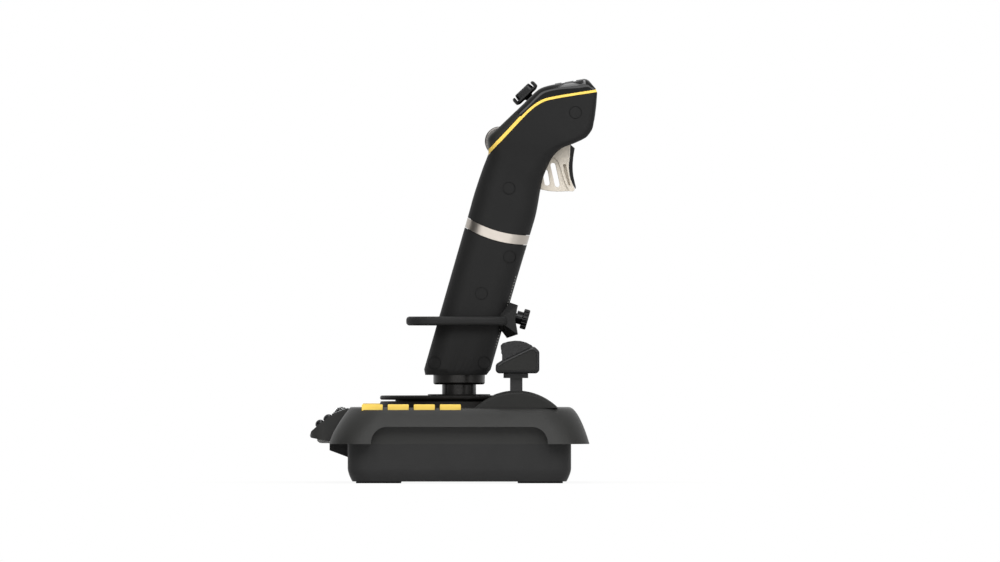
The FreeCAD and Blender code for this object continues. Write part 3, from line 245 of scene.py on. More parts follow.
# A smooth curve through the given rows: a centripetal Catmull-Rom spline.
def smoothRows(rows, steps):
    rows = np.array(rows, float)
    rows = np.vstack([2 * rows[0] - rows[1], rows, 2 * rows[-1] - rows[-2]])
    result = []

    def mixed(a, b, low, high, t):
        return (a * (high - t) + b * (t - low)) / (high - low)

    for i in range(1, len(rows) - 2):
        p = rows[i - 1:i + 3]
        knots = [0.0]
        for a, b in zip(p, p[1:]):
            knots.append(knots[-1] + max(1e-6, float(np.linalg.norm(b - a))) ** 0.5)
        for step in range(steps):
            t = knots[1] + (knots[2] - knots[1]) * step / steps
            first = [mixed(p[j], p[j + 1], knots[j], knots[j + 1], t) for j in range(3)]
            second = [mixed(first[j], first[j + 1], knots[j], knots[j + 2], t) for j in range(2)]
            result.append(mixed(second[0], second[1], knots[1], knots[2], t))
    result.append(rows[-2])
    return [tuple(float(v) for v in row) for row in result]


# Rounds the corners of an outline: each corner gets an arc no longer than its sides allow.
def filleted(points, radius, steps):
    result = []
    for i, point in enumerate(points):
        corner = Vector(point)
        before, after = Vector(points[i - 1]) - corner, Vector(points[(i + 1) % len(points)]) - corner
        half = before.angle(after) / 2
        reach = min(radius / math.tan(half), before.length * 0.48, after.length * 0.48)
        size = reach * math.tan(half)
        spokes = [before.normalized() * reach, after.normalized() * reach]
        centre = (before.normalized() + after.normalized()).normalized() * (size / math.sin(half))
        for step in range(steps + 1):
            spoke = (spokes[0] - centre).lerp(spokes[1] - centre, step / steps)
            result.append(tuple(corner + centre + spoke.normalized() * size))
    return result


# The steps of a rounded edge: how far each is drawn in, and its height.
def roundOver(size, steps):
    angles = [math.radians(90 * step / steps) for step in range(steps + 1)]
    return [(size * (1 - math.sin(angle)), size * (1 - math.cos(angle))) for angle in angles]


# Moves every side of an outline inwards by an amount.
def drawnIn(points, amount):
    ends = points[1:] + points[:1]
    turn = 1 if sum(a[0] * b[1] - b[0] * a[1] for a, b in zip(points, ends)) > 0 else -1
    lines = []
    for a, b in zip(points, ends):
        along = (Vector(b) - Vector(a)).normalized()
        lines.append((Vector(a) + Vector((-along.y, along.x)) * (turn * amount), along))
    result = []
    for (p, d), (q, e) in zip([lines[-1]] + lines[:-1], lines):
        share = ((q.x - p.x) * e.y - (q.y - p.y) * e.x) / (d.x * e.y - d.y * e.x)
        result.append(tuple(p + d * share))
    return result


# An outline of (y, z) points drawn out along X.
def prism(name, outline, xLow, xHigh):
    return loft(name, [[(x, y, z) for y, z in outline] for x in (xLow, xHigh)])


# A prism that reaches equally far to both sides.
def slab(name, outline, half):
    return prism(name, outline, -half, half)


def block(name, low, high):
    (xLow, yLow, zLow), (xHigh, yHigh, zHigh) = low, high
    return prism(name, [(yLow, zLow), (yHigh, zLow), (yHigh, zHigh), (yLow, zHigh)], xLow, xHigh)


def circle(radius, steps=48):
    angles = [2 * math.pi * step / steps for step in range(steps)]
    return [(radius * math.cos(angle), radius * math.sin(angle)) for angle in angles]


# A round bar between two points.
def bar(name, radius, start, end, steps=48):
    start, end = Vector(start), Vector(end)
    turn = (end - start).to_track_quat("Z", "X")
    spokes = [turn @ Vector((*spot, 0)) for spot in circle(radius, steps)]
    return loft(name, [[point + spoke for spoke in spokes] for point in (start, end)])


def acrossBar(name, radius, centre, xLow, xHigh, steps=48):
    return bar(name, radius, (xLow, *centre), (xHigh, *centre), steps)


# Applies an object's modifiers.
def settle(item):
    graph = bpy.context.evaluated_depsgraph_get()
    old = item.data
    item.data = bpy.data.meshes.new_from_object(item.evaluated_get(graph), depsgraph=graph)
    item.modifiers.clear()
    bpy.data.meshes.remove(old)


def discard(item):
    mesh = item.data
    bpy.data.objects.remove(item)
    bpy.data.meshes.remove(mesh)


# Combines an object with tools, which are used up unless kept.
def combine(item, operation, tools, keep=False):
    for tool in tools:
        step = item.modifiers.new("cut", "BOOLEAN")
        step.operation = operation
        step.solver = "EXACT"
        step.object = tool
        settle(item)
        if not keep:
            discard(tool)
    return item


def cut(item, *tools, keep=False):
    return combine(item, "DIFFERENCE", tools, keep)


def join(item, *tools):
    return combine(item, "UNION", tools)


def clip(item, *tools):
    return combine(item, "INTERSECT", tools)


# Puts several separate solids into one object.
def gather(name, items):
    mesh = bpy.data.meshes.new(name)
    work = bmesh.new()
    for item in items:
        work.from_mesh(item.data)
        discard(item)
    work.to_mesh(mesh)
    work.free()
    return linked(name, mesh)


def copyOf(item, name):
    return linked(name, item.data.copy())


def turnedAt(spot, degrees, axis="X"):
    return Matrix.Translation(spot) @ Matrix.Rotation(math.radians(degrees), 4, axis)


# The leaning frame of the handle, whose foot stands on the collar.
collarLow, collarHigh = boxOf("shaft_collar")
stickY = (collarLow.y + collarHigh.y) / 2
gripFrame = {"lean": 16.0, "shift": -2.05}
gripMatrix = turnedAt((0, stickY + gripFrame["shift"], collarHigh.z), -gripFrame["lean"])


def roundEdges(item, rounding, segments, sharp):
    soft = item.modifiers.new("edgeRounding", "BEVEL")
    soft.width = rounding * mm
    soft.segments = segments
    soft.limit_method = "ANGLE"
    soft.angle_limit = math.radians(sharp)


sharpAngle = 32


# Finishes a piece: into metres and into place, smooth faces with sharp edges kept, a fine rounding of the
# edges, a material, the body that it rides on and the CAD nodes that it stands for. The slot is not used.
def place(item, finish, body, slot, replaced=(), leaning=False, rounding=0.25, segments=2):
    mesh = item.data
    mesh.transform(Matrix.Scale(mm, 4) @ (gripMatrix if leaning else Matrix.Identity(4)))
    work = bmesh.new()
    work.from_mesh(mesh)
    bmesh.ops.remove_doubles(work, verts=work.verts, dist=0.004 * mm)
    bmesh.ops.dissolve_degenerate(work, edges=work.edges, dist=0.002 * mm)
    for face in work.faces:
        face.smooth = True
    for edge in work.edges:
        edge.smooth = len(edge.link_faces) == 2 and edge.calc_face_angle(0) < math.radians(sharpAngle)
    work.to_mesh(mesh)
    work.free()
    mesh.materials.clear()
    mesh.materials.append(finishes[finish])
    if rounding:
        roundEdges(item, rounding, segments, sharpAngle)
    weigh = item.modifiers.new("evenNormals", "WEIGHTED_NORMAL")
    weigh.keep_sharp = not rounding
    weigh.weight = 60
    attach(item, body)
    if replaced:
        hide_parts(*replaced)


# base: the shell that overhangs the tub, hollow, with a pocket for each key and a recess in each side
shellLow, shellHigh = boxOf("base_top_shell")
shellForm = {"slopeRun": 14.0, "risePower": 1.5, "sidePower": 0.8, "rearPower": 1.4, "corner": 26.0,
             "wall": 2.6, "overhang": 12.6, "lip": 2.0, "steps": 22, "deckHole": 48, "domeHole": (8, 27)}
tubForm = {"tuck": 3.2, "tuckHeight": 9.0, "corner": 14.0, "wall": 2.6, "steps": 10}
recessForm = {"length": 121.5, "height": 11.8, "corner": 11.0}
shellMiddle = (shellLow + shellHigh) / 2
shellHalf = (shellHigh - shellLow) / 2


# The shell's outside, or the space inside it at an inset.
def shellBlock(name, inset):
    rings = []
    for step in range(shellForm["steps"] + 1):
        angle = math.radians(90 * step / shellForm["steps"])
        rise = math.sin(angle) ** shellForm["risePower"]
        draw = shellForm["slopeRun"] * (1 - math.cos(angle)) ** shellForm["sidePower"] + inset
        rearDraw = shellForm["slopeRun"] * rise ** shellForm["rearPower"] + inset
        z = shellLow.z + (shellHigh.z - inset - shellLow.z) * rise
        rings.append(ringAround(shellHalf.x - draw, (shellLow.y + rearDraw, z), (shellHigh.y - draw, z),
                                shellForm["corner"] - inset, 12, 8))
    return loft(name, rings)


def recessTool(side, grow):
    wall = shellHalf.x - shellForm["overhang"] - grow
    half = recessForm["length"] / 2 + grow
    near, far = shellMiddle.y - half, shellMiddle.y + half
    foot, top = shellLow.z - 30, shellLow.z + recessForm["height"] + grow
    corners = [(near, foot), (far, foot), (far, top), (near, top)]
    outline = filleted(corners, recessForm["corner"] + grow, 12)
    return prism("recess", outline, side * wall, side * (shellHalf.x + 6))


# A level ring drawn in from the shell's widest outline.
def baseRing(draw, z, corner, turnSteps=7, sideSteps=4):
    reach = shellHalf.y - draw
    ends = [(shellMiddle.y - reach, z), (shellMiddle.y + reach, z)]
    return ringAround(shellHalf.x - draw, *ends, corner, turnSteps, sideSteps)


keyNames = [f"key_{side}_{row}" for side in ("left", "right") for row in (1, 2, 3, 4)]
keyForm = {"clearance": 0.35, "below": 3, "rim": 50.4, "reach": 12.1}
clearAbove = 70


# For each key a pocket, and an opening out to the side above the rim's level.
def keyTools():
    tools = []
    for name in keyNames:
        low, high = boxOf(name)
        grow = keyForm["clearance"]
        yLow, yHigh = low.y - grow, high.y + grow
        pocketFoot = (low.x - grow, yLow, low.z - keyForm["below"])
        tools.append(block("pocket", pocketFoot, (high.x + grow, yHigh, clearAbove)))
        edge, side = (high.x, 1) if high.x > 0 else (low.x, -1)
        rimFoot = (edge - 0.1 * side, yLow, keyForm["rim"])
        tools.append(block("rim", rimFoot, (edge + keyForm["reach"] * side, yHigh, clearAbove)))
    return tools


domeLow, domeHigh = boxOf("throttle_domes")
throttleY = (domeLow.y + domeHigh.y) / 2
domeHalfWidth = 10.5
throttleX = domeHigh.x - domeHalfWidth

cavity = shellBlock("cavity", shellForm["wall"])
lipTop = shellLow.z + shellForm["lip"]
cut(cavity, block("under", (-200, -200, 0), (200, 200, lipTop)))
cut(cavity, recessTool(-1, shellForm["wall"]), recessTool(1, shellForm["wall"]))
mouth = loft("mouth", [
    baseRing(shellForm["overhang"] + shellForm["wall"], z, tubForm["corner"] - tubForm["wall"])
    for z in (shellLow.z - 1, lipTop + 0.5)
])
baseShell = shellBlock("baseShell", 0)
cut(baseShell, cavity, mouth, recessTool(-1, 0), recessTool(1, 0))
cut(baseShell, bar("deckHole", shellForm["deckHole"], (0, stickY, 40), (0, stickY, clearAbove), 96))
domeAcross, domeAlong = shellForm["domeHole"]
for side in (-1, 1):
    cut(baseShell, block("domeHole", (side * throttleX - domeAcross, throttleY - domeAlong, 44),
                         (side * throttleX + domeAcross, throttleY + domeAlong, clearAbove)))
cut(baseShell, *keyTools())
print("shell done")

# the nose: its slope carries two buttons and a clear dome in a black ring; places run from the shell's rear
# edge and top
noseForm = {"halfWidth": 30.0, "corner": 10.0, "reach": 13.8, "lift": 1.6, "inside": 16.0, "gap": 0.3}
noseTop = [(13.2, -0.8), (2.0, -4.9), (-4.5, -9.4), (-9.4, -13.3), (-12.9, -16.4)]
noseTip = shellLow.y - noseForm["reach"]
# each button's place along the nose and its radius
noseSpots = {"nose_button_lower": (-7.0, 3.2), "nose_button_upper": (-1.6, 3.2), "dome_button": (7.1, 4.9)}


# A round tool square to the nose's slope at a button's place, between two heights over the slope.
def wellTool(name, grow, low=-6.0, high=12.0):
    across, radius = noseSpots[name]
    for (yHigh, zHigh), (yLow, zLow) in zip(noseTop, noseTop[1:]):
        if yLow <= across <= yHigh:
            rise = zLow + (zHigh - zLow) * (across - yLow) / (yHigh - yLow)
            upright = Vector((0, zLow - zHigh, yHigh - yLow)).normalized()
            spot = Vector((0, shellLow.y + across, shellHigh.z + rise))
            return bar("well", radius + grow, spot + upright * low, spot + upright * high)


noseSlope = [(shellLow.y + y, shellHigh.z + z) for y, z in noseTop]
noseLow = shellLow.z + noseForm["lift"]
noseEnd = [(noseTip + 0.1, shellHigh.z - 19.4), (noseTip + 0.7, shellHigh.z - 20.8),
           (shellLow.y - 0.6, noseLow)]
noseRoot = shellLow.y + noseForm["inside"]
noseSide = smoothRows(noseSlope, 5) + noseEnd + [(noseRoot, noseLow), (noseRoot, noseSlope[0][1])]
nosePanel = slab("nosePanel", noseSide, noseForm["halfWidth"])
clip(nosePanel, loft("nosePlan", [
    ringAround(noseForm["halfWidth"], (noseTip, z), (-40, z), noseForm["corner"]) for z in (20, 60)
]))
shellShape = shellBlock("shellShape", 0)
cut(nosePanel, shellShape, keep=True)
for name in noseSpots:
    for piece in (nosePanel, baseShell):
        cut(piece, wellTool(name, noseForm["gap"]))

padHalf = 9.0
padSide = [(-0.3, 3.4), (-0.3, 0.15), (-5.6, 0.15), (-7.4, 0.5), (-8.7, 1.7), (-9.0, 3.2)]
nosePad = slab("nosePad", [(shellLow.y + y, shellLow.z + z) for y, z in padSide], padHalf)
cut(nosePad, copyOf(nosePanel, "nosePanelCopy"))
ringForm = {"width": 1.3, "below": -0.2, "above": 0.7}
domeRing = wellTool("dome_button", ringForm["width"], ringForm["below"], ringForm["above"])
cut(domeRing, wellTool("dome_button", noseForm["gap"]), shellShape)
place(nosePanel, "sparkedAbs", "base", "shell_plastic", ["nose_panel"], rounding=0.5, segments=3)
place(nosePad, "greyAbs", "base", "shell_plastic", rounding=0.3)
place(domeRing, "pianoBlackAbs", "base", "gloss_black", rounding=0.2)
place(baseShell, "sparkedAbs", "base", "shell_plastic", ["base_top_shell"], rounding=0.45, segments=3)


# the tub: its walls curve in towards the floor
def tubBlock(name, inset, floor):
    rings = []
    for step in range(tubForm["steps"] + 1):
        share = step / tubForm["steps"]
        draw = tubForm["tuck"] * (1 - share) ** 1.6 + shellForm["overhang"] + inset
        rings.append(baseRing(draw, floor + tubForm["tuckHeight"] * share, tubForm["corner"] - inset, 10, 6))
    rings.append([(x, y, shellLow.z) for x, y, z in rings[-1]])
    return loft(name, rings)


tubLow = boxOf("base_tub")[0]
baseTub = tubBlock("baseTub", 0, tubLow.z)
cut(baseTub, tubBlock("tubCavity", tubForm["wall"], tubLow.z + tubForm["wall"]))
# the jack's housing is a wedge on the tub's rear wall, under the nose
wedgeForm = {"halfWidth": 18, "top": 27.0, "edge": 22.3, "foot": 17.5}
wedgeRoot = shellLow.y + shellForm["overhang"]
join(baseTub, slab("wedge", [
    (tubLow.y, wedgeForm["top"]), (tubLow.y, wedgeForm["edge"]), (wedgeRoot, wedgeForm["foot"]),
    (wedgeRoot + 0.5, wedgeForm["foot"]), (wedgeRoot + 0.5, wedgeForm["top"]),
], wedgeForm["halfWidth"]))
# each socket's hole, with how far it runs before and beyond the socket's box
for name, before, beyond in (("headset_jack", 4.01, 0.1), ("usb_socket", -0.09, 4)):
    low, high = boxOf(name)
    cut(baseTub, block("socketHole", (low.x - 0.1, low.y - before, low.z - 0.1),
                       (high.x + 0.1, high.y + beyond, high.z + 0.1)))
place(baseTub, "tubAbs", "base", "base_plastic", ["base_tub"], rounding=0.4)
print("base done")

# the handle: one smooth form that every casing piece is cut from
gripForm = {"back": -22.3, "front": 22.0, "swell": 0.4, "halfWidth": 20.0, "headHalfWidth": 24.0,
            "corner": 15.0, "headCorner": 5.0, "wall": 2.4, "footDraw": 1.9, "footRise": 4.5}
coverFoot, coverBend = (-10.5, 186.4), (0.2, 204.6)
away = 60  # stands clear of the handle on every side
# each row holds the back's and the front's place (y, z) along the lean, and the head's share in the section
back, front = gripForm["back"], gripForm["front"]
gripRows = [
    (back, -16.0, front, -16.0, 0.0),
    (back, 72.0, front, 72.0, 0.0),
    (back, 108.0, front + gripForm["swell"], 108.0, 0.0),
    (back - 0.1, 124.0, front + gripForm["swell"], 122.0, 0.03),
    (-21.6, 142.0, 20.7, 139.0, 0.12),
    (-20.8, 153.0, 20.2, 147.0, 0.33),
    (-22.4, 158.4, 20.9, 154.5, 0.46),
    (-23.8, 162.2, 22.3, 162.0, 0.62),
    (-22.9, 165.8, 24.6, 167.0, 0.75),
    (-19.0, 171.9, 27.5, 170.8, 0.85),
    (*coverFoot, 35.0, 176.7, 1.0),
    (-7.2, 192.0, 38.8, 180.0, 1.0),
    (*coverBend, 41.9, 183.8, 1.0),
    (4.2, 208.1, 43.5, 188.6, 0.98),
    (11.3, 212.0, 43.3, 193.5, 0.95),
    (22.7, 217.2, 42.8, 198.5, 0.9),
    (29.7, 220.8, 41.6, 206.0, 0.84),
    (32.2, 220.4, 41.2, 207.9, 0.82),
    (38.0, 216.4, 39.9, 213.8, 0.75),
]


def gripSolid(name, inset):
    rows = smoothRows(gripRows[:-1], 5) + ([gripRows[-1]] if inset == 0 else [])
    rings = []
    for backY, backZ, frontY, frontZ, share in rows:
        share = min(1.0, max(0.0, share))
        along = Vector((frontY - backY, frontZ - backZ)).normalized() * inset
        halfWidth, corner = [
            gripForm[shaft] + (gripForm[head] - gripForm[shaft]) * share - inset
            for shaft, head in (("halfWidth", "headHalfWidth"), ("corner", "headCorner"))
        ]
        ends = [(backY + along.x, backZ + along.y), (frontY - along.x, frontZ - along.y)]
        rings.append(ringAround(halfWidth, *ends, corner, 9, 5))
    return loft(name, rings)


stripeLine = smoothRows([
    (-25.0, 143.8), (-19.0, 155.1), (-11.9, 168.5), (-5.7, 180.6), (-1.3, 188.6), (2.2, 193.6), (7.0, 198.3),
    (14.1, 202.3), (25.8, 207.9), (39.7, 214.3), (49.0, 218.6),
], 6)
stripeForm = {"width": 1.7, "besidePanel": 2.4, "gap": 0.22, "upwards": (-0.68, 0.8)}


# Everything above the stripe's lower edge moved up by an offset.
def aboveStripe(offset):
    across, rise = stripeForm["upwards"]
    shifted = [(y + across * offset, z + rise * offset) for y, z in stripeLine]
    corners = [(away, 260), (-away, 260), (-away, stripeLine[0][1])]
    return slab("aboveStripe", shifted + corners, away)


bandForm = {"middle": 96.5, "height": 6.9, "sag": 3.1, "gap": 0.16, "reach": 32.0, "steps": 24}


# Everything below a curve that sags across the handle, given its height at the handle's middle.
def belowCurve(middle):
    reach, steps = bandForm["reach"], bandForm["steps"]
    places = [reach * (2 * step / steps - 1) for step in range(steps + 1)]
    curve = [(y, middle + bandForm["sag"] * (y / front) ** 2) for y in places]
    return slab("belowCurve", curve + [(reach, -away), (-reach, -away)], away)


bandLow, bandHigh = bandForm["middle"], bandForm["middle"] + bandForm["height"]
plugs = {
    "upper": [(29.3, 196.6), (-0.4, 133.8)],
    "lower": [(13.0, 88.4), (1.3, 58.9), (-16.6, 3.9), (16.3, 13.4)],
}
plugForm = {"radius": 4.0, "gap": 0.32, "depth": 2.0, "sink": 0.12}


def plugTools(group, radius):
    return gather("plugTools", [
        acrossBar("plug", radius, spot, side * 4, side * away, 40)
        for spot in plugs[group] for side in (-1, 1)
    ])


gripShell = gripSolid("gripShell", 0)
gripCavity = gripSolid("gripCavity", gripForm["wall"])
gripCore = gripSolid("gripCore", plugForm["depth"])
cut(gripShell, gripCavity, keep=True)
seam = {"halfWidth": 0.11, "depth": 0.45}
seamTool = block("seamTool", (-seam["halfWidth"], -away, -away), (seam["halfWidth"], 90, 300))
cut(seamTool, gripSolid("seamFloor", seam["depth"]))

gripLower = copyOf(gripShell, "gripLower")
clip(gripLower, belowCurve(bandLow - bandForm["gap"]))


# A level ring round the handle, in the joystick's own frame.
def levelRing(z, grow):
    turn = math.radians(gripFrame["lean"])
    start = stickY + gripFrame["shift"] + (z - collarHigh.z) * math.tan(turn)
    ends = [(start + back / math.cos(turn) - grow, z), (start + front / math.cos(turn) + grow, z)]
    return ringAround(gripForm["halfWidth"] + grow, *ends, gripForm["corner"] + grow, 9, 5)


# the handle's foot is cut level over the collar and drawn in there; above, the space only widens
footSpace = loft("footSpace", [
    levelRing(collarHigh.z, -gripForm["footDraw"]), levelRing(collarHigh.z + gripForm["footRise"], 0.3),
    levelRing(collarHigh.z + 130, 12),
])
footSpace.data.transform(gripMatrix.inverted())
clip(gripLower, footSpace)
gripUpper = copyOf(gripShell, "gripUpper")
clip(gripUpper, block("upperSpace", (-away, -away, 60), (away, 90, 300)))
cut(gripUpper, belowCurve(bandHigh + bandForm["gap"]), aboveStripe(-stripeForm["gap"]))
for piece, group in ((gripLower, "lower"), (gripUpper, "upper")):
    holes = plugTools(group, plugForm["radius"] + plugForm["gap"])
    cut(holes, gripCore, keep=True)
    cut(piece, holes, copyOf(seamTool, "seamCopy"))

wheelForm = {"centre": (-15.5, 163.2), "radius": 10.3, "halfWidth": 4.0, "gap": 0.6, "sideGap": 0.5}
triggerForm = {"halfWidth": 5.0, "clearance": 0.4, "pivot": (30.0, 183.0), "bore": 1.55, "pocket": 4.0,
               "slotFoot": (11, 138), "slotTop": (37.3, 182.5)}


def wheelSlot():
    reach = wheelForm["halfWidth"] + wheelForm["sideGap"]
    return acrossBar("wheelSlot", wheelForm["radius"] + wheelForm["gap"], wheelForm["centre"], -reach, reach)


slotReach = triggerForm["halfWidth"] + triggerForm["clearance"]
cut(gripUpper, wheelSlot(), block("slot", (-slotReach, *triggerForm["slotFoot"]),
                                  (slotReach, *triggerForm["slotTop"])))

band = copyOf(gripShell, "gripBand")
clip(band, belowCurve(bandHigh - bandForm["gap"]))
cut(band, belowCurve(bandLow + bandForm["gap"]))
# a dark sleeve inside the handle backs the joints beside the band and the stripe
sleeve = gripSolid("sleeve", gripForm["wall"] + 0.05)
cut(sleeve, gripSolid("sleeveSpace", gripForm["wall"] + 0.8))
cut(sleeve, block("below", (-away, -away, -away), (away, 90, bandLow - 4)))
cut(sleeve, wheelSlot(), block("triggerSpace", (-slotReach - 1, 0, 130), (slotReach + 1, away, 190)))


# The part of the head below the joint between the matt panel and the glossy cover, moved up by an offset.
def panelRegion(offset=0.0):
    line = Vector((0.835, -0.55))
    joint = Vector(coverFoot) + Vector((-line.y, line.x)) * offset
    ends = [tuple(joint + line * step) for step in (-14, 14)]
    corners = [(30, 120), (-away, 120), (-away, 200)]
    return slab("panelRegion", ends + corners, away)


trimStrip = copyOf(gripShell, "trimStrip")
clip(trimStrip, aboveStripe(0))
beside = aboveStripe(stripeForm["besidePanel"])
clip(beside, panelRegion())
above = aboveStripe(stripeForm["width"])
cut(above, panelRegion())
cut(trimStrip, beside, above, wheelSlot())
headPanel = copyOf(gripShell, "headPanel")
clip(headPanel, aboveStripe(stripeForm["besidePanel"] + stripeForm["gap"]), panelRegion(-0.12))
cut(headPanel, wheelSlot())
headCover = copyOf(gripShell, "headCover")
clip(headCover, aboveStripe(stripeForm["width"] + stripeForm["gap"]))
cut(headCover, panelRegion(0.12))
coverSlope = (Vector((0, *coverBend)) - Vector((0, *coverFoot))).normalized()
coverNormal = Vector((0, -coverSlope.z, coverSlope.y))
hatForm = {"rise": 13.1, "depth": 7.0, "stem": 2.7, "gap": 1.3, "plate": 2.7, "length": 19.9, "width": 15.0,
           "blockLength": 13.6, "blockHeight": 4.1, "lipHeight": 3.5, "lipLength": 2.5, "swing": 17,
           "corner": 4.0}
hatCentre = Vector((0, *coverFoot)) + coverSlope * hatForm["rise"] - coverNormal * hatForm["depth"]
hatClear = hatForm["stem"] + hatForm["depth"] * math.tan(math.radians(hatForm["swing"])) + 0.5
cut(headCover, bar("hatHole", hatClear, hatCentre + coverNormal * 3.6, hatCentre + coverNormal * 20))
headButtons = {"head_button_rear": ((12.4, 212.5), 4.6), "head_button_middle": ((19.3, 215.6), 6.2),
               "head_button_front": ((26.4, 219.1), 6.0)}
barForm = {"halfWidth": 7.0, "turn": 25.7, "gap": 0.3, "height": 0.5}


def headBar(name, spot, length, grow, low, high):
    half, reach = barForm["halfWidth"] + grow, length / 2 + grow
    item = block(name, (-half, -reach, low), (half, reach, high))
    item.data.transform(turnedAt((0, *spot), barForm["turn"]))
    return item


for spot, length in headButtons.values():
    cut(headCover, headBar("barHole", spot, length, barForm["gap"], -6, 4))

screwPlugs = gather("screwPlugs", [plugTools(group, plugForm["radius"]) for group in plugs])
clip(screwPlugs, gripSolid("plugSkin", plugForm["sink"]))
cut(screwPlugs, gripCore, keep=True)
for tool in (gripShell, gripCavity, gripCore, seamTool):
    discard(tool)

# ticks of a height scale for the hand rest, printed down the handle's front corners
tickForm = {"first": 26.0, "count": 26, "pitch": 2.0, "turn": 22.0, "length": 1.6, "height": 0.35,
            "ink": 0.05}
tickHalf, tickRadius = tickForm["length"] / 2, gripForm["corner"] + tickForm["ink"]
ticks = []
for side in (-1, 1):
    for index in range(tickForm["count"]):
        tick = block("tick", (-tickHalf, tickRadius - 0.5, 0), (tickHalf, tickRadius, tickForm["height"]))
        spot = (side * (gripForm["halfWidth"] - gripForm["corner"]), front - gripForm["corner"],
                tickForm["first"] + tickForm["pitch"] * index)
        tick.data.transform(turnedAt(spot, -side * tickForm["turn"], "Z"))
        ticks.append(tick)

for item, finish, slot, replaced, rounding in (
    (gather("scaleTicks", ticks), "paddedInk", "grip_rubberised", [], 0),
    (gripLower, "softTouchLacquer", "grip_rubberised", ["grip_lower_left", "grip_lower_right"], 0.35),
    (gripUpper, "softTouchLacquer", "grip_rubberised", ["grip_upper_left", "grip_upper_right"], 0.3),
    (screwPlugs, "softTouchLacquer", "grip_rubberised", ["screw_plugs"], 0.15),
    (sleeve, "mouldedNylon", "grip_rubberised", [], 0),
    (band, "satinNickel", "satin_band", ["grip_band"], 0.3),
    (trimStrip, "yellowAbs", "yellow_plastic", ["trim_strip"], 0.15),
    (headPanel, "panelAbs", "panel_plastic", ["head_panel"], 0.3),
):
    place(item, finish, "stick", slot, replaced, True, rounding)
place(headCover, "pianoBlackAbs", "stick", "gloss_black", ["head_cover"], True, 0.5, segments=3)
print("handle done")

# the trigger: a pale blade with a dark glossy strip down its front, and the web with two openings behind it
divider, bladeFront, stripBack = [smoothRows(rows, 5) for rows in (
    [(22.2, 163.2), (26.6, 161.3), (29.6, 157.6), (32.9, 152.2), (37.2, 146.5), (40.1, 143.4)],
    [(42.6, 143.9), (43.9, 146.5), (42.1, 150.2), (39.6, 155.0), (37.6, 160.8), (36.2, 167.8), (35.4, 176.2),
     (35.0, 183.0)],
    [(41.6, 147.8), (38.4, 151.9), (36.4, 155.9), (34.7, 160.9), (33.9, 166.2), (31.8, 174.6)],
)]
stripTop, bladeTip = 29, 4  # the strip covers these points of the blade's front
bladeTop = [(31.6, 181.0), (30.6, 187.0), (26.0, 186.0), (22.4, 172.0)]
half = triggerForm["halfWidth"]
triggerBlade = slab("triggerBlade", divider + bladeFront[:bladeTip] + stripBack + bladeTop, half)
cut(triggerBlade, acrossBar("bore", triggerForm["bore"], triggerForm["pivot"], -9, 9))
pocket = [(30.8, 160.0), (32.7, 160.9), (37.4, 151.8), (39.9, 147.2), (38.6, 147.0), (33.1, 154.9)]
for side in (-1, 1):
    floor = side * (half - triggerForm["pocket"])
    cut(triggerBlade, prism("pocket", filleted(pocket, 0.5, 4), floor, side * (half + 1)))
stripSide = [(y + 0.06, z + 0.06) for y, z in stripBack[::-1]] + bladeFront[bladeTip:stripTop]
triggerStrip = slab("triggerStrip", stripSide, half)
place(triggerBlade, "champagneLacquer", "trigger", "trigger_metal", ["trigger_blade"], True, 0.45, segments=3)
place(triggerStrip, "pianoBlackAbs", "trigger", "gloss_black", [], True, 0.9, segments=4)


def slotTool(top, foot, width):
    top, foot = Vector(top), Vector(foot)
    along = (foot - top).normalized()
    base = math.atan2(along.y, along.x)
    outline = []
    for end, first in ((foot, base - math.pi / 2), (top, base + math.pi / 2)):
        for step in range(13):
            angle = first + math.pi * step / 12
            outline.append((end.x + width / 2 * math.cos(angle), end.y + width / 2 * math.sin(angle)))
    return slab("slotTool", outline, 20)


webHalf = half - 1.2
webOutline = [(17.0, 139.0)] + smoothRows([(21.3, 139.2), (26.4, 139.6), (32.4, 140.9), (40.1, 143.4)], 4)
triggerWeb = slab("triggerWeb", webOutline + divider[::-1][1:] + [(17.0, 163.2)], webHalf)
webSlots = [slotTool((24.4, 157.4), (30.9, 145.4), 3.4), slotTool((20.6, 151.4), (23.9, 144.6), 3.6)]
cut(triggerWeb, *webSlots)
place(triggerWeb, "champagneLacquer", "trigger", "trigger_metal", ["trigger_web"], True, 0.5, segments=3)

# the hat: an oblong plate with a raised middle and a lip at each end, on a ridged stem
hatMatrix = Matrix.Translation(hatCentre) @ Matrix.Rotation(math.atan2(-coverNormal.y, coverNormal.z), 4, "X")
capLow = hatForm["depth"] + hatForm["gap"]
capHigh = capLow + hatForm["plate"]
capHalf, capReach = hatForm["width"] / 2, hatForm["length"] / 2


# An oblong form of level rings: each has a height over the base level and how far it is drawn in.
def hatBlock(name, halfWidth, reach, corner, base, steps, widthShare=1.0):
    rings = []
    for z, draw in steps:
        ends = [(draw - reach, base + z), (reach - draw, base + z)]
        rings.append(ringAround(halfWidth - draw * widthShare, *ends, corner - draw, 8, 6))
    return loft(name, rings)


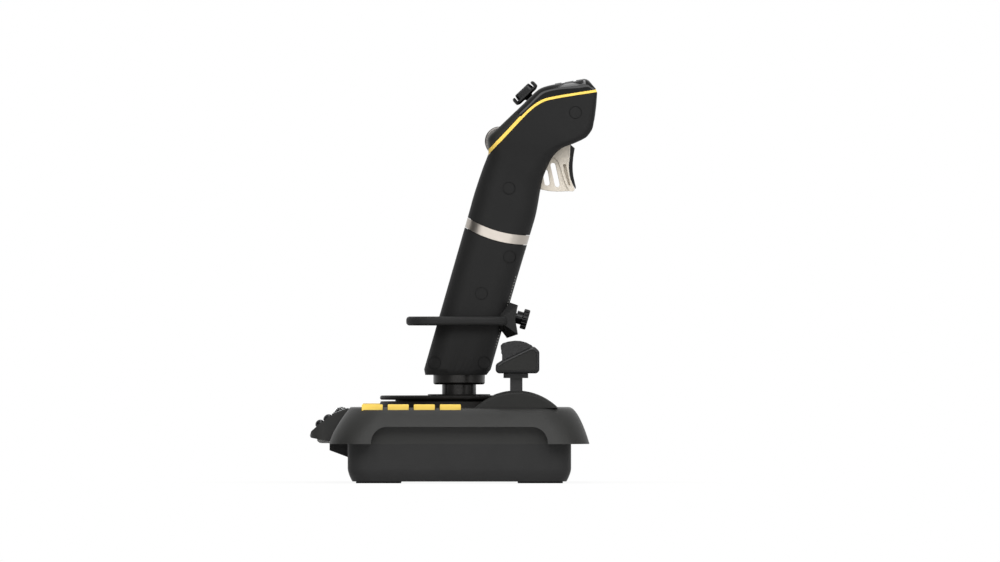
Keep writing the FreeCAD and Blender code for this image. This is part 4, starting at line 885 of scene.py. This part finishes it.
corner, lipHigh = hatForm["corner"], capHigh + hatForm["lipHeight"]
hatCap = hatBlock("hatCap", capHalf, capReach, corner, capLow, (
    (0, 2.6), (0.35, 1.6), (0.8, 0.7), (1.4, 0.05), (hatForm["plate"], 0.0)))
join(hatCap, hatBlock("hatMiddle", capHalf - 1.5, hatForm["blockLength"] / 2, corner - 1, capHigh, (
    (-1.0, -0.4), (0.0, -0.3), (3.0, 0.25), (3.7, 0.45), (hatForm["blockHeight"], 0.85)), 0.5))
lipOuter, lipInner = capReach + 1, capReach - hatForm["lipLength"]
lips = gather("lips", [
    slab("lip", filleted([
        (side * lipOuter, capHigh - 0.5), (side * lipOuter, lipHigh), (side * lipInner, lipHigh),
        (side * lipInner, capHigh - 0.5),
    ], 0.7, 4), capHalf) for side in (-1, 1)
])
clip(lips, hatBlock("lipSpace", capHalf, capReach, corner, capHigh, (
    (-1.0, 0.0), (1.8, 0.0), (2.6, 0.2), (3.2, 0.6), (hatForm["lipHeight"], 1.1))))
join(hatCap, lips)
stem = hatForm["stem"]
stemProfile = [(stem, 3.6)]
for ridge in range(4):
    stemProfile += [(stem, 6.0 + 0.5 * ridge), (stem + 0.3, 6.2 + 0.5 * ridge)]
stemProfile += [(3.4, capLow - 0.1), (4.2, capLow + 0.5), (4.2, capLow + 1.0)]
join(hatCap, loft("hatStem", [[(x, y, z) for x, y in circle(radius)] for radius, z in stemProfile]))
join(hatCap, block("bridge", (-2, -4.2, 2.9), (2, 4.2, 4.1)))
hatCap.data.transform(hatMatrix)
place(hatCap, "satinPolycarbonate", "hat", "hat_plastic", ["hat_cap"], True, 0.3, segments=3)
for name, (spot, length) in headButtons.items():
    button = headBar(name.replace("head_", "") + "Bar", spot, length, 0, -4.2, barForm["height"])
    place(button, "polishedPolycarbonate", name + "_body", "gloss_black", [name], True, 0.25, segments=3)
print("trigger and hat done")

# the hand rest: a flat plate with soft edges, clamped round the handle
restLow, restHigh = boxOf("hand_rest")
restForm = {"bottom": 108.3, "thickness": 6.2, "front": 39.0, "corner": 20.0, "clearance": 0.4, "edge": 2.3,
            "clampHalf": 11.0, "flankHalf": 19.0, "screwAlong": 50.0}
low, high = restForm["bottom"], restForm["bottom"] + restForm["thickness"]
edge = roundOver(restForm["edge"], 6)
levels = [(draw, low + rise) for draw, rise in edge] + [(draw, high - rise) for draw, rise in edge[::-1]]
handRest = loft("handRest", [
    ringAround(restHigh.x - draw, (restLow.y + draw, z), (restForm["front"] - draw, z),
               restForm["corner"] - draw, 12, 8) for draw, z in levels
])
clamp = slab("clamp", [
    (25.0, high - 1), (25.3, high + 1.1), (38.6, high + 9.7), (44.1, high + 7.8), (42.2, high - 1.5),
    (44.1, low - 6.1), (36.4, low - 8.7), (35.5, low - 6.1), (33.0, low - 4.2), (25.9, low - 0.3),
    (25.0, low + 1),
], restForm["clampHalf"])
join(handRest, clamp)
# each flank runs from an outline at the clamp to a smaller one at its end
clampRoot = [(28.1, high + 2.7), (38.6, high + 9.7), (44.0, high + 7.8), (42.2, high - 2.5),
             (44.1, low - 6.1), (36.4, low - 8.6), (33.0, low - 4.1), (25.4, low + 0.1)]
clampEnd = [(34.0, high + 0.2), (34.3, high + 0.4), (43.3, high + 7.4), (42.0, high - 2.5), (43.6, low - 5.8),
            (34.3, low + 0.8), (34.0, low + 1.0), (33.8, low + 1.4)]
for side in (-1, 1):
    spots = ((restForm["clampHalf"] - 0.5, clampRoot), (restForm["flankHalf"], clampEnd))
    flank = loft("clampFlank", [[(side * x, y, z) for y, z in outline] for x, outline in spots])
    join(handRest, flank)
clear = restForm["clearance"]
handle = loft("handle", [
    ringAround(gripForm["halfWidth"] + clear, (back - clear, z), (front + clear, z),
               gripForm["corner"] + clear, 9, 5) for z in (10, 95)
])
handle.data.transform(gripMatrix)
cut(handRest, handle)
for radius, start in ((2.55, 15), (4.7, 28.6)):
    hole = bar("screwHole", radius, (0, start, restForm["screwAlong"]), (0, 50, restForm["screwAlong"]))
    hole.data.transform(gripMatrix)
    cut(handRest, hole)
place(handRest, "mattNylon", "rest", "rest_plastic", ["hand_rest"], rounding=0.6, segments=3)

# the throttle knobs: two flat cheeks with soft raised edges, and a cap and a waist between them;
# outlines give y from the throttle's axle and z from the table
cheek = [(-14.3, 77.2), (-12.6, 75.5), (14.0, 75.5), (15.9, 77.2), (15.9, 90.6), (12.8, 93.5), (9.4, 93.4),
         (-9.0, 84.7), (-14.2, 81.3)]
cap = [(-10.6, 91.4), (-10.8, 94.3), (-9.4, 95.9), (-5.4, 97.1), (-0.9, 97.7), (3.1, 97.5), (7.1, 96.4),
       (10.9, 94.4), (12.6, 91.4)]
waist = [(-9.8, 78.0), (13.6, 78.0), (14.0, 90.0), (10.9, 94.0), (-10.2, 94.0), (-10.4, 89.4), (-9.8, 88.4)]
knobForm = {"halfWidth": 13.0, "cap": 2.5, "round": 1.7, "sink": 0.9, "panel": 1.9, "corner": 2.6}


def atAxle(points):
    return [(throttleY + y, z) for y, z in points]


# The outline of a cheek's sunk side, drawn in further by a gap.
def cheekPanel(gap):
    return filleted(atAxle(drawnIn(cheek, knobForm["panel"] + gap)), 0.6, 4)


def cheekPiece(end):
    outer = knobForm["halfWidth"]
    rings = [(outer - knobForm["cap"], 0.0)]
    rings += [(outer - draw, depth) for draw, depth in roundOver(knobForm["round"], 5)]
    piece = loft("cheek", [
        [(end * x, y, z) for y, z in filleted(atAxle(drawnIn(cheek, draw)), knobForm["corner"] - draw, 5)]
        for x, draw in rings
    ])
    return cut(piece, prism("sunk", cheekPanel(0), end * (outer - knobForm["sink"]), end * (outer + 1)))


inner = knobForm["halfWidth"] - knobForm["cap"] + 0.05
knobFloor = atAxle([(-12.2, 75.7), (13.4, 75.7), (13.4, 79.5), (-8.9, 79.5)])
panelFloor = knobForm["halfWidth"] - knobForm["sink"]
for side, word in ((-1, "left"), (1, "right")):
    knob = slab("knob" + word.capitalize(), filleted(atAxle(cap), 0.8, 4), inner)
    join(knob, slab("waist", filleted(atAxle(waist), 0.5, 4), inner - 0.1))
    join(knob, slab("knobFloor", knobFloor, inner), cheekPiece(-1), cheekPiece(1))
    cut(knob, block("socket", (-3.55, throttleY - 4.3, 70), (3.55, throttleY + 4.3, 78.05)))
    panels = []
    for end in (-1, 1):
        cut(knob, block("slit", (end * inner - 0.7, throttleY - 9.9, 88.2),
                        (end * inner + 0.7, throttleY - 9.2, 95.4)))
        # each sunk side is an insert lighter than the knob, so a dark outline rings it: painted shade of the
        # raised rim
        panels.append(prism("insert", cheekPanel(0.08), end * (panelFloor - 0.2), end * (panelFloor + 0.35)))
    inserts = gather("knobInserts" + word.capitalize(), panels)
    for piece in (inserts, knob):
        piece.data.transform(Matrix.Translation((side * throttleX, 0, 0)))
    body = "throttle_" + word
    place(inserts, "slideAbs", body, "knob_plastic", rounding=0.15)
    place(knob, "satinPolycarbonate", body, "knob_plastic", ["throttle_knob_" + word])
print("rest and knobs done")

# the CAD nodes that stay as they are, by finish, each with the rounding of its edges
carried = {
    "blackOxide": {"headset_jack": 0.1, "shaft": 0.1, "shaft_collar": 0.15},
    "zincPlate": {"usb_socket": 0.1, "tub_screws": 0.1, "shaft_nut": 0.2, "grip_screws": 0.1},
    "mouldedRubber": {"rubber_feet": 0.3},
    "solderMask": {"main_board": 0.1},
    "dieCastZinc": {"weight_plate": 0.3, "gimbal_cradle": 0.3, "roll_frame": 0.3, "pitch_hub": 0.3,
                    "grip_core": 0.2},
    "mouldedNylon": {"deck_plate": 0.3, "dust_keeper": 0.1, "cover_disc": 0.15},
    "drawnSteel": {"roll_spring": 0, "pitch_spring": 0, "twist_spring": 0, "pitch_pins": 0.1,
                   "pivot_pins": 0.1, "hat_cross": 0.1},
    "satinAlloy": {"trim_wheel": 0},
    "satinPolycarbonate": {"thumb_screw": 0.2},
    "slideAbs": {"throttle_domes": 0},
    "filledNylon": {"throttle_lever_left": 1.0, "throttle_lever_right": 1.0},
    "polishedPolycarbonate": {"nose_button_lower": 0, "nose_button_upper": 0},
    "clearAcrylic": {"dome_button": 0},
    "yellowAbs": dict.fromkeys(keyNames, 0),
}
for finish, roundings in carried.items():
    for name, rounding in roundings.items():
        item = nodes[name]
        item.data.materials.clear()
        item.data.materials.append(finishes[finish])
        if rounding:
            roundEdges(item, rounding, 2, 35)
print("carried nodes refinished")


# Is 1 for what the camera sees straight, in a gloss or through clear plastic.
def seenDirectly(owner):
    rays = addNode(owner, "LightPath").outputs
    seen = rays["Is Camera Ray"]
    for kind in ("Is Glossy Ray", "Is Transmission Ray"):
        seen = addNode(owner, "Math", {"operation": "MAXIMUM"}, {0: seen, 1: rays[kind]}).outputs[0]
    return seen


# A flat sheet, in metres.
def sheet(name, corners, material):
    item = makeObject(name, corners, [(0, 1, 2, 3)])
    item.data.materials.append(material)
    return item


def plainMaterial(name, grey, roughness):
    material = bpy.data.materials.new(name)
    material.use_nodes = True
    principled = material.node_tree.nodes["Principled BSDF"]
    principled.inputs["Base Color"].default_value = (grey, grey, grey, 1)
    principled.inputs["Roughness"].default_value = roughness
    return material


# stage: a white floor and backdrop, soft lamps at a plain level, and a long lens from the object's right
paper = plainMaterial("whitePaper", 0.8, 0.9)
tree = paper.node_tree
glow = addNode(paper, "Emission", {"Color": (1, 1, 1, 1), "Strength": 1.0})
onFloor = addNode(paper, "TexCoord").outputs["Object"]
reach = addNode(paper, "VectorMath", {"operation": "LENGTH"}, {0: onFloor})
# near the object some of the paper's own shade shows, so that the shadow stays
fade = {"From Min": 0.11, "From Max": 0.2, "To Min": 0.93, "To Max": 1.0}
plain = addNode(paper, "MapRange", fade, {"Value": reach.outputs["Value"]})
share = addNode(paper, "Math", {"operation": "MULTIPLY"},
                {0: seenDirectly(paper), 1: plain.outputs["Result"]})
mix = addNode(paper, "MixShader", {}, {0: share.outputs[0], 2: glow.outputs[0]})
tree.links.new(tree.nodes["Principled BSDF"].outputs[0], mix.inputs[1])
tree.links.new(mix.outputs[0], tree.nodes["Material Output"].inputs["Surface"])
level = cadBox[0].z
sheet("floor", [(-2, -2, level), (2, -2, level), (2, 2, level), (-2, 2, level)], paper)

world = bpy.data.worlds.new("studio")
bpy.context.scene.world = world
world.use_nodes = True
sky = world.node_tree.nodes["Background"]
sky.inputs["Color"].default_value = (1, 1, 1, 1)
strength = addNode(world, "MapRange", {"To Min": 0.15, "To Max": 1.0}, {"Value": seenDirectly(world)})
world.node_tree.links.new(strength.outputs["Result"], sky.inputs["Strength"])

view = {"middle": (0, 0.0317, 0.139), "distance": 18.0, "across": 0.69}
middle = Vector(view["middle"])
for name, spot, power, width, height in (
    ("topStrip", (0.1, 0.0, 1.3), 7, 0.16, 1.6),
    ("sideFill", (1.5, 0.0, 1.0), 27, 2.0, 1.0),
    ("lowFill", (2.0, 0.0, -0.07), 5, 2.6, 0.12),
    ("frontStrip", (0.9, 1.1, 0.5), 4, 0.5, 1.2),
):
    light = bpy.data.lights.new(name, "AREA")
    light.shape = "RECTANGLE"
    light.size, light.size_y = width, height
    light.energy = power
    lamp = linked(name, light)
    lamp.location = middle + Vector(spot)
    lamp.rotation_euler = (-Vector(spot)).to_track_quat("-Z", "Y").to_euler()

# black cards take the light off the object's ends
blackCard = plainMaterial("blackCard", 0.01, 1.0)
for name, y, width in (("rearFlag", -0.9, 0.9), ("frontFlag", 1.1, 0.5)):
    flag = sheet(name, [(-0.2, y, 0.13), (width, y, 0.13), (width, y, 1.1), (-0.2, y, 1.1)], blackCard)
    flag.visible_camera = False
    flag.visible_shadow = False

lens = bpy.data.cameras.new("longLens")
lens.lens = lens.sensor_width / 2 / (view["across"] / 2 / view["distance"])
lens.clip_end = 60
camera = linked("camera", lens)
camera.location = middle + Vector((view["distance"], 0, 0))
camera.rotation_euler = (math.radians(90), 0, math.radians(90))
bpy.context.scene.camera = camera
bpy.context.scene.view_settings.view_transform = "Standard"
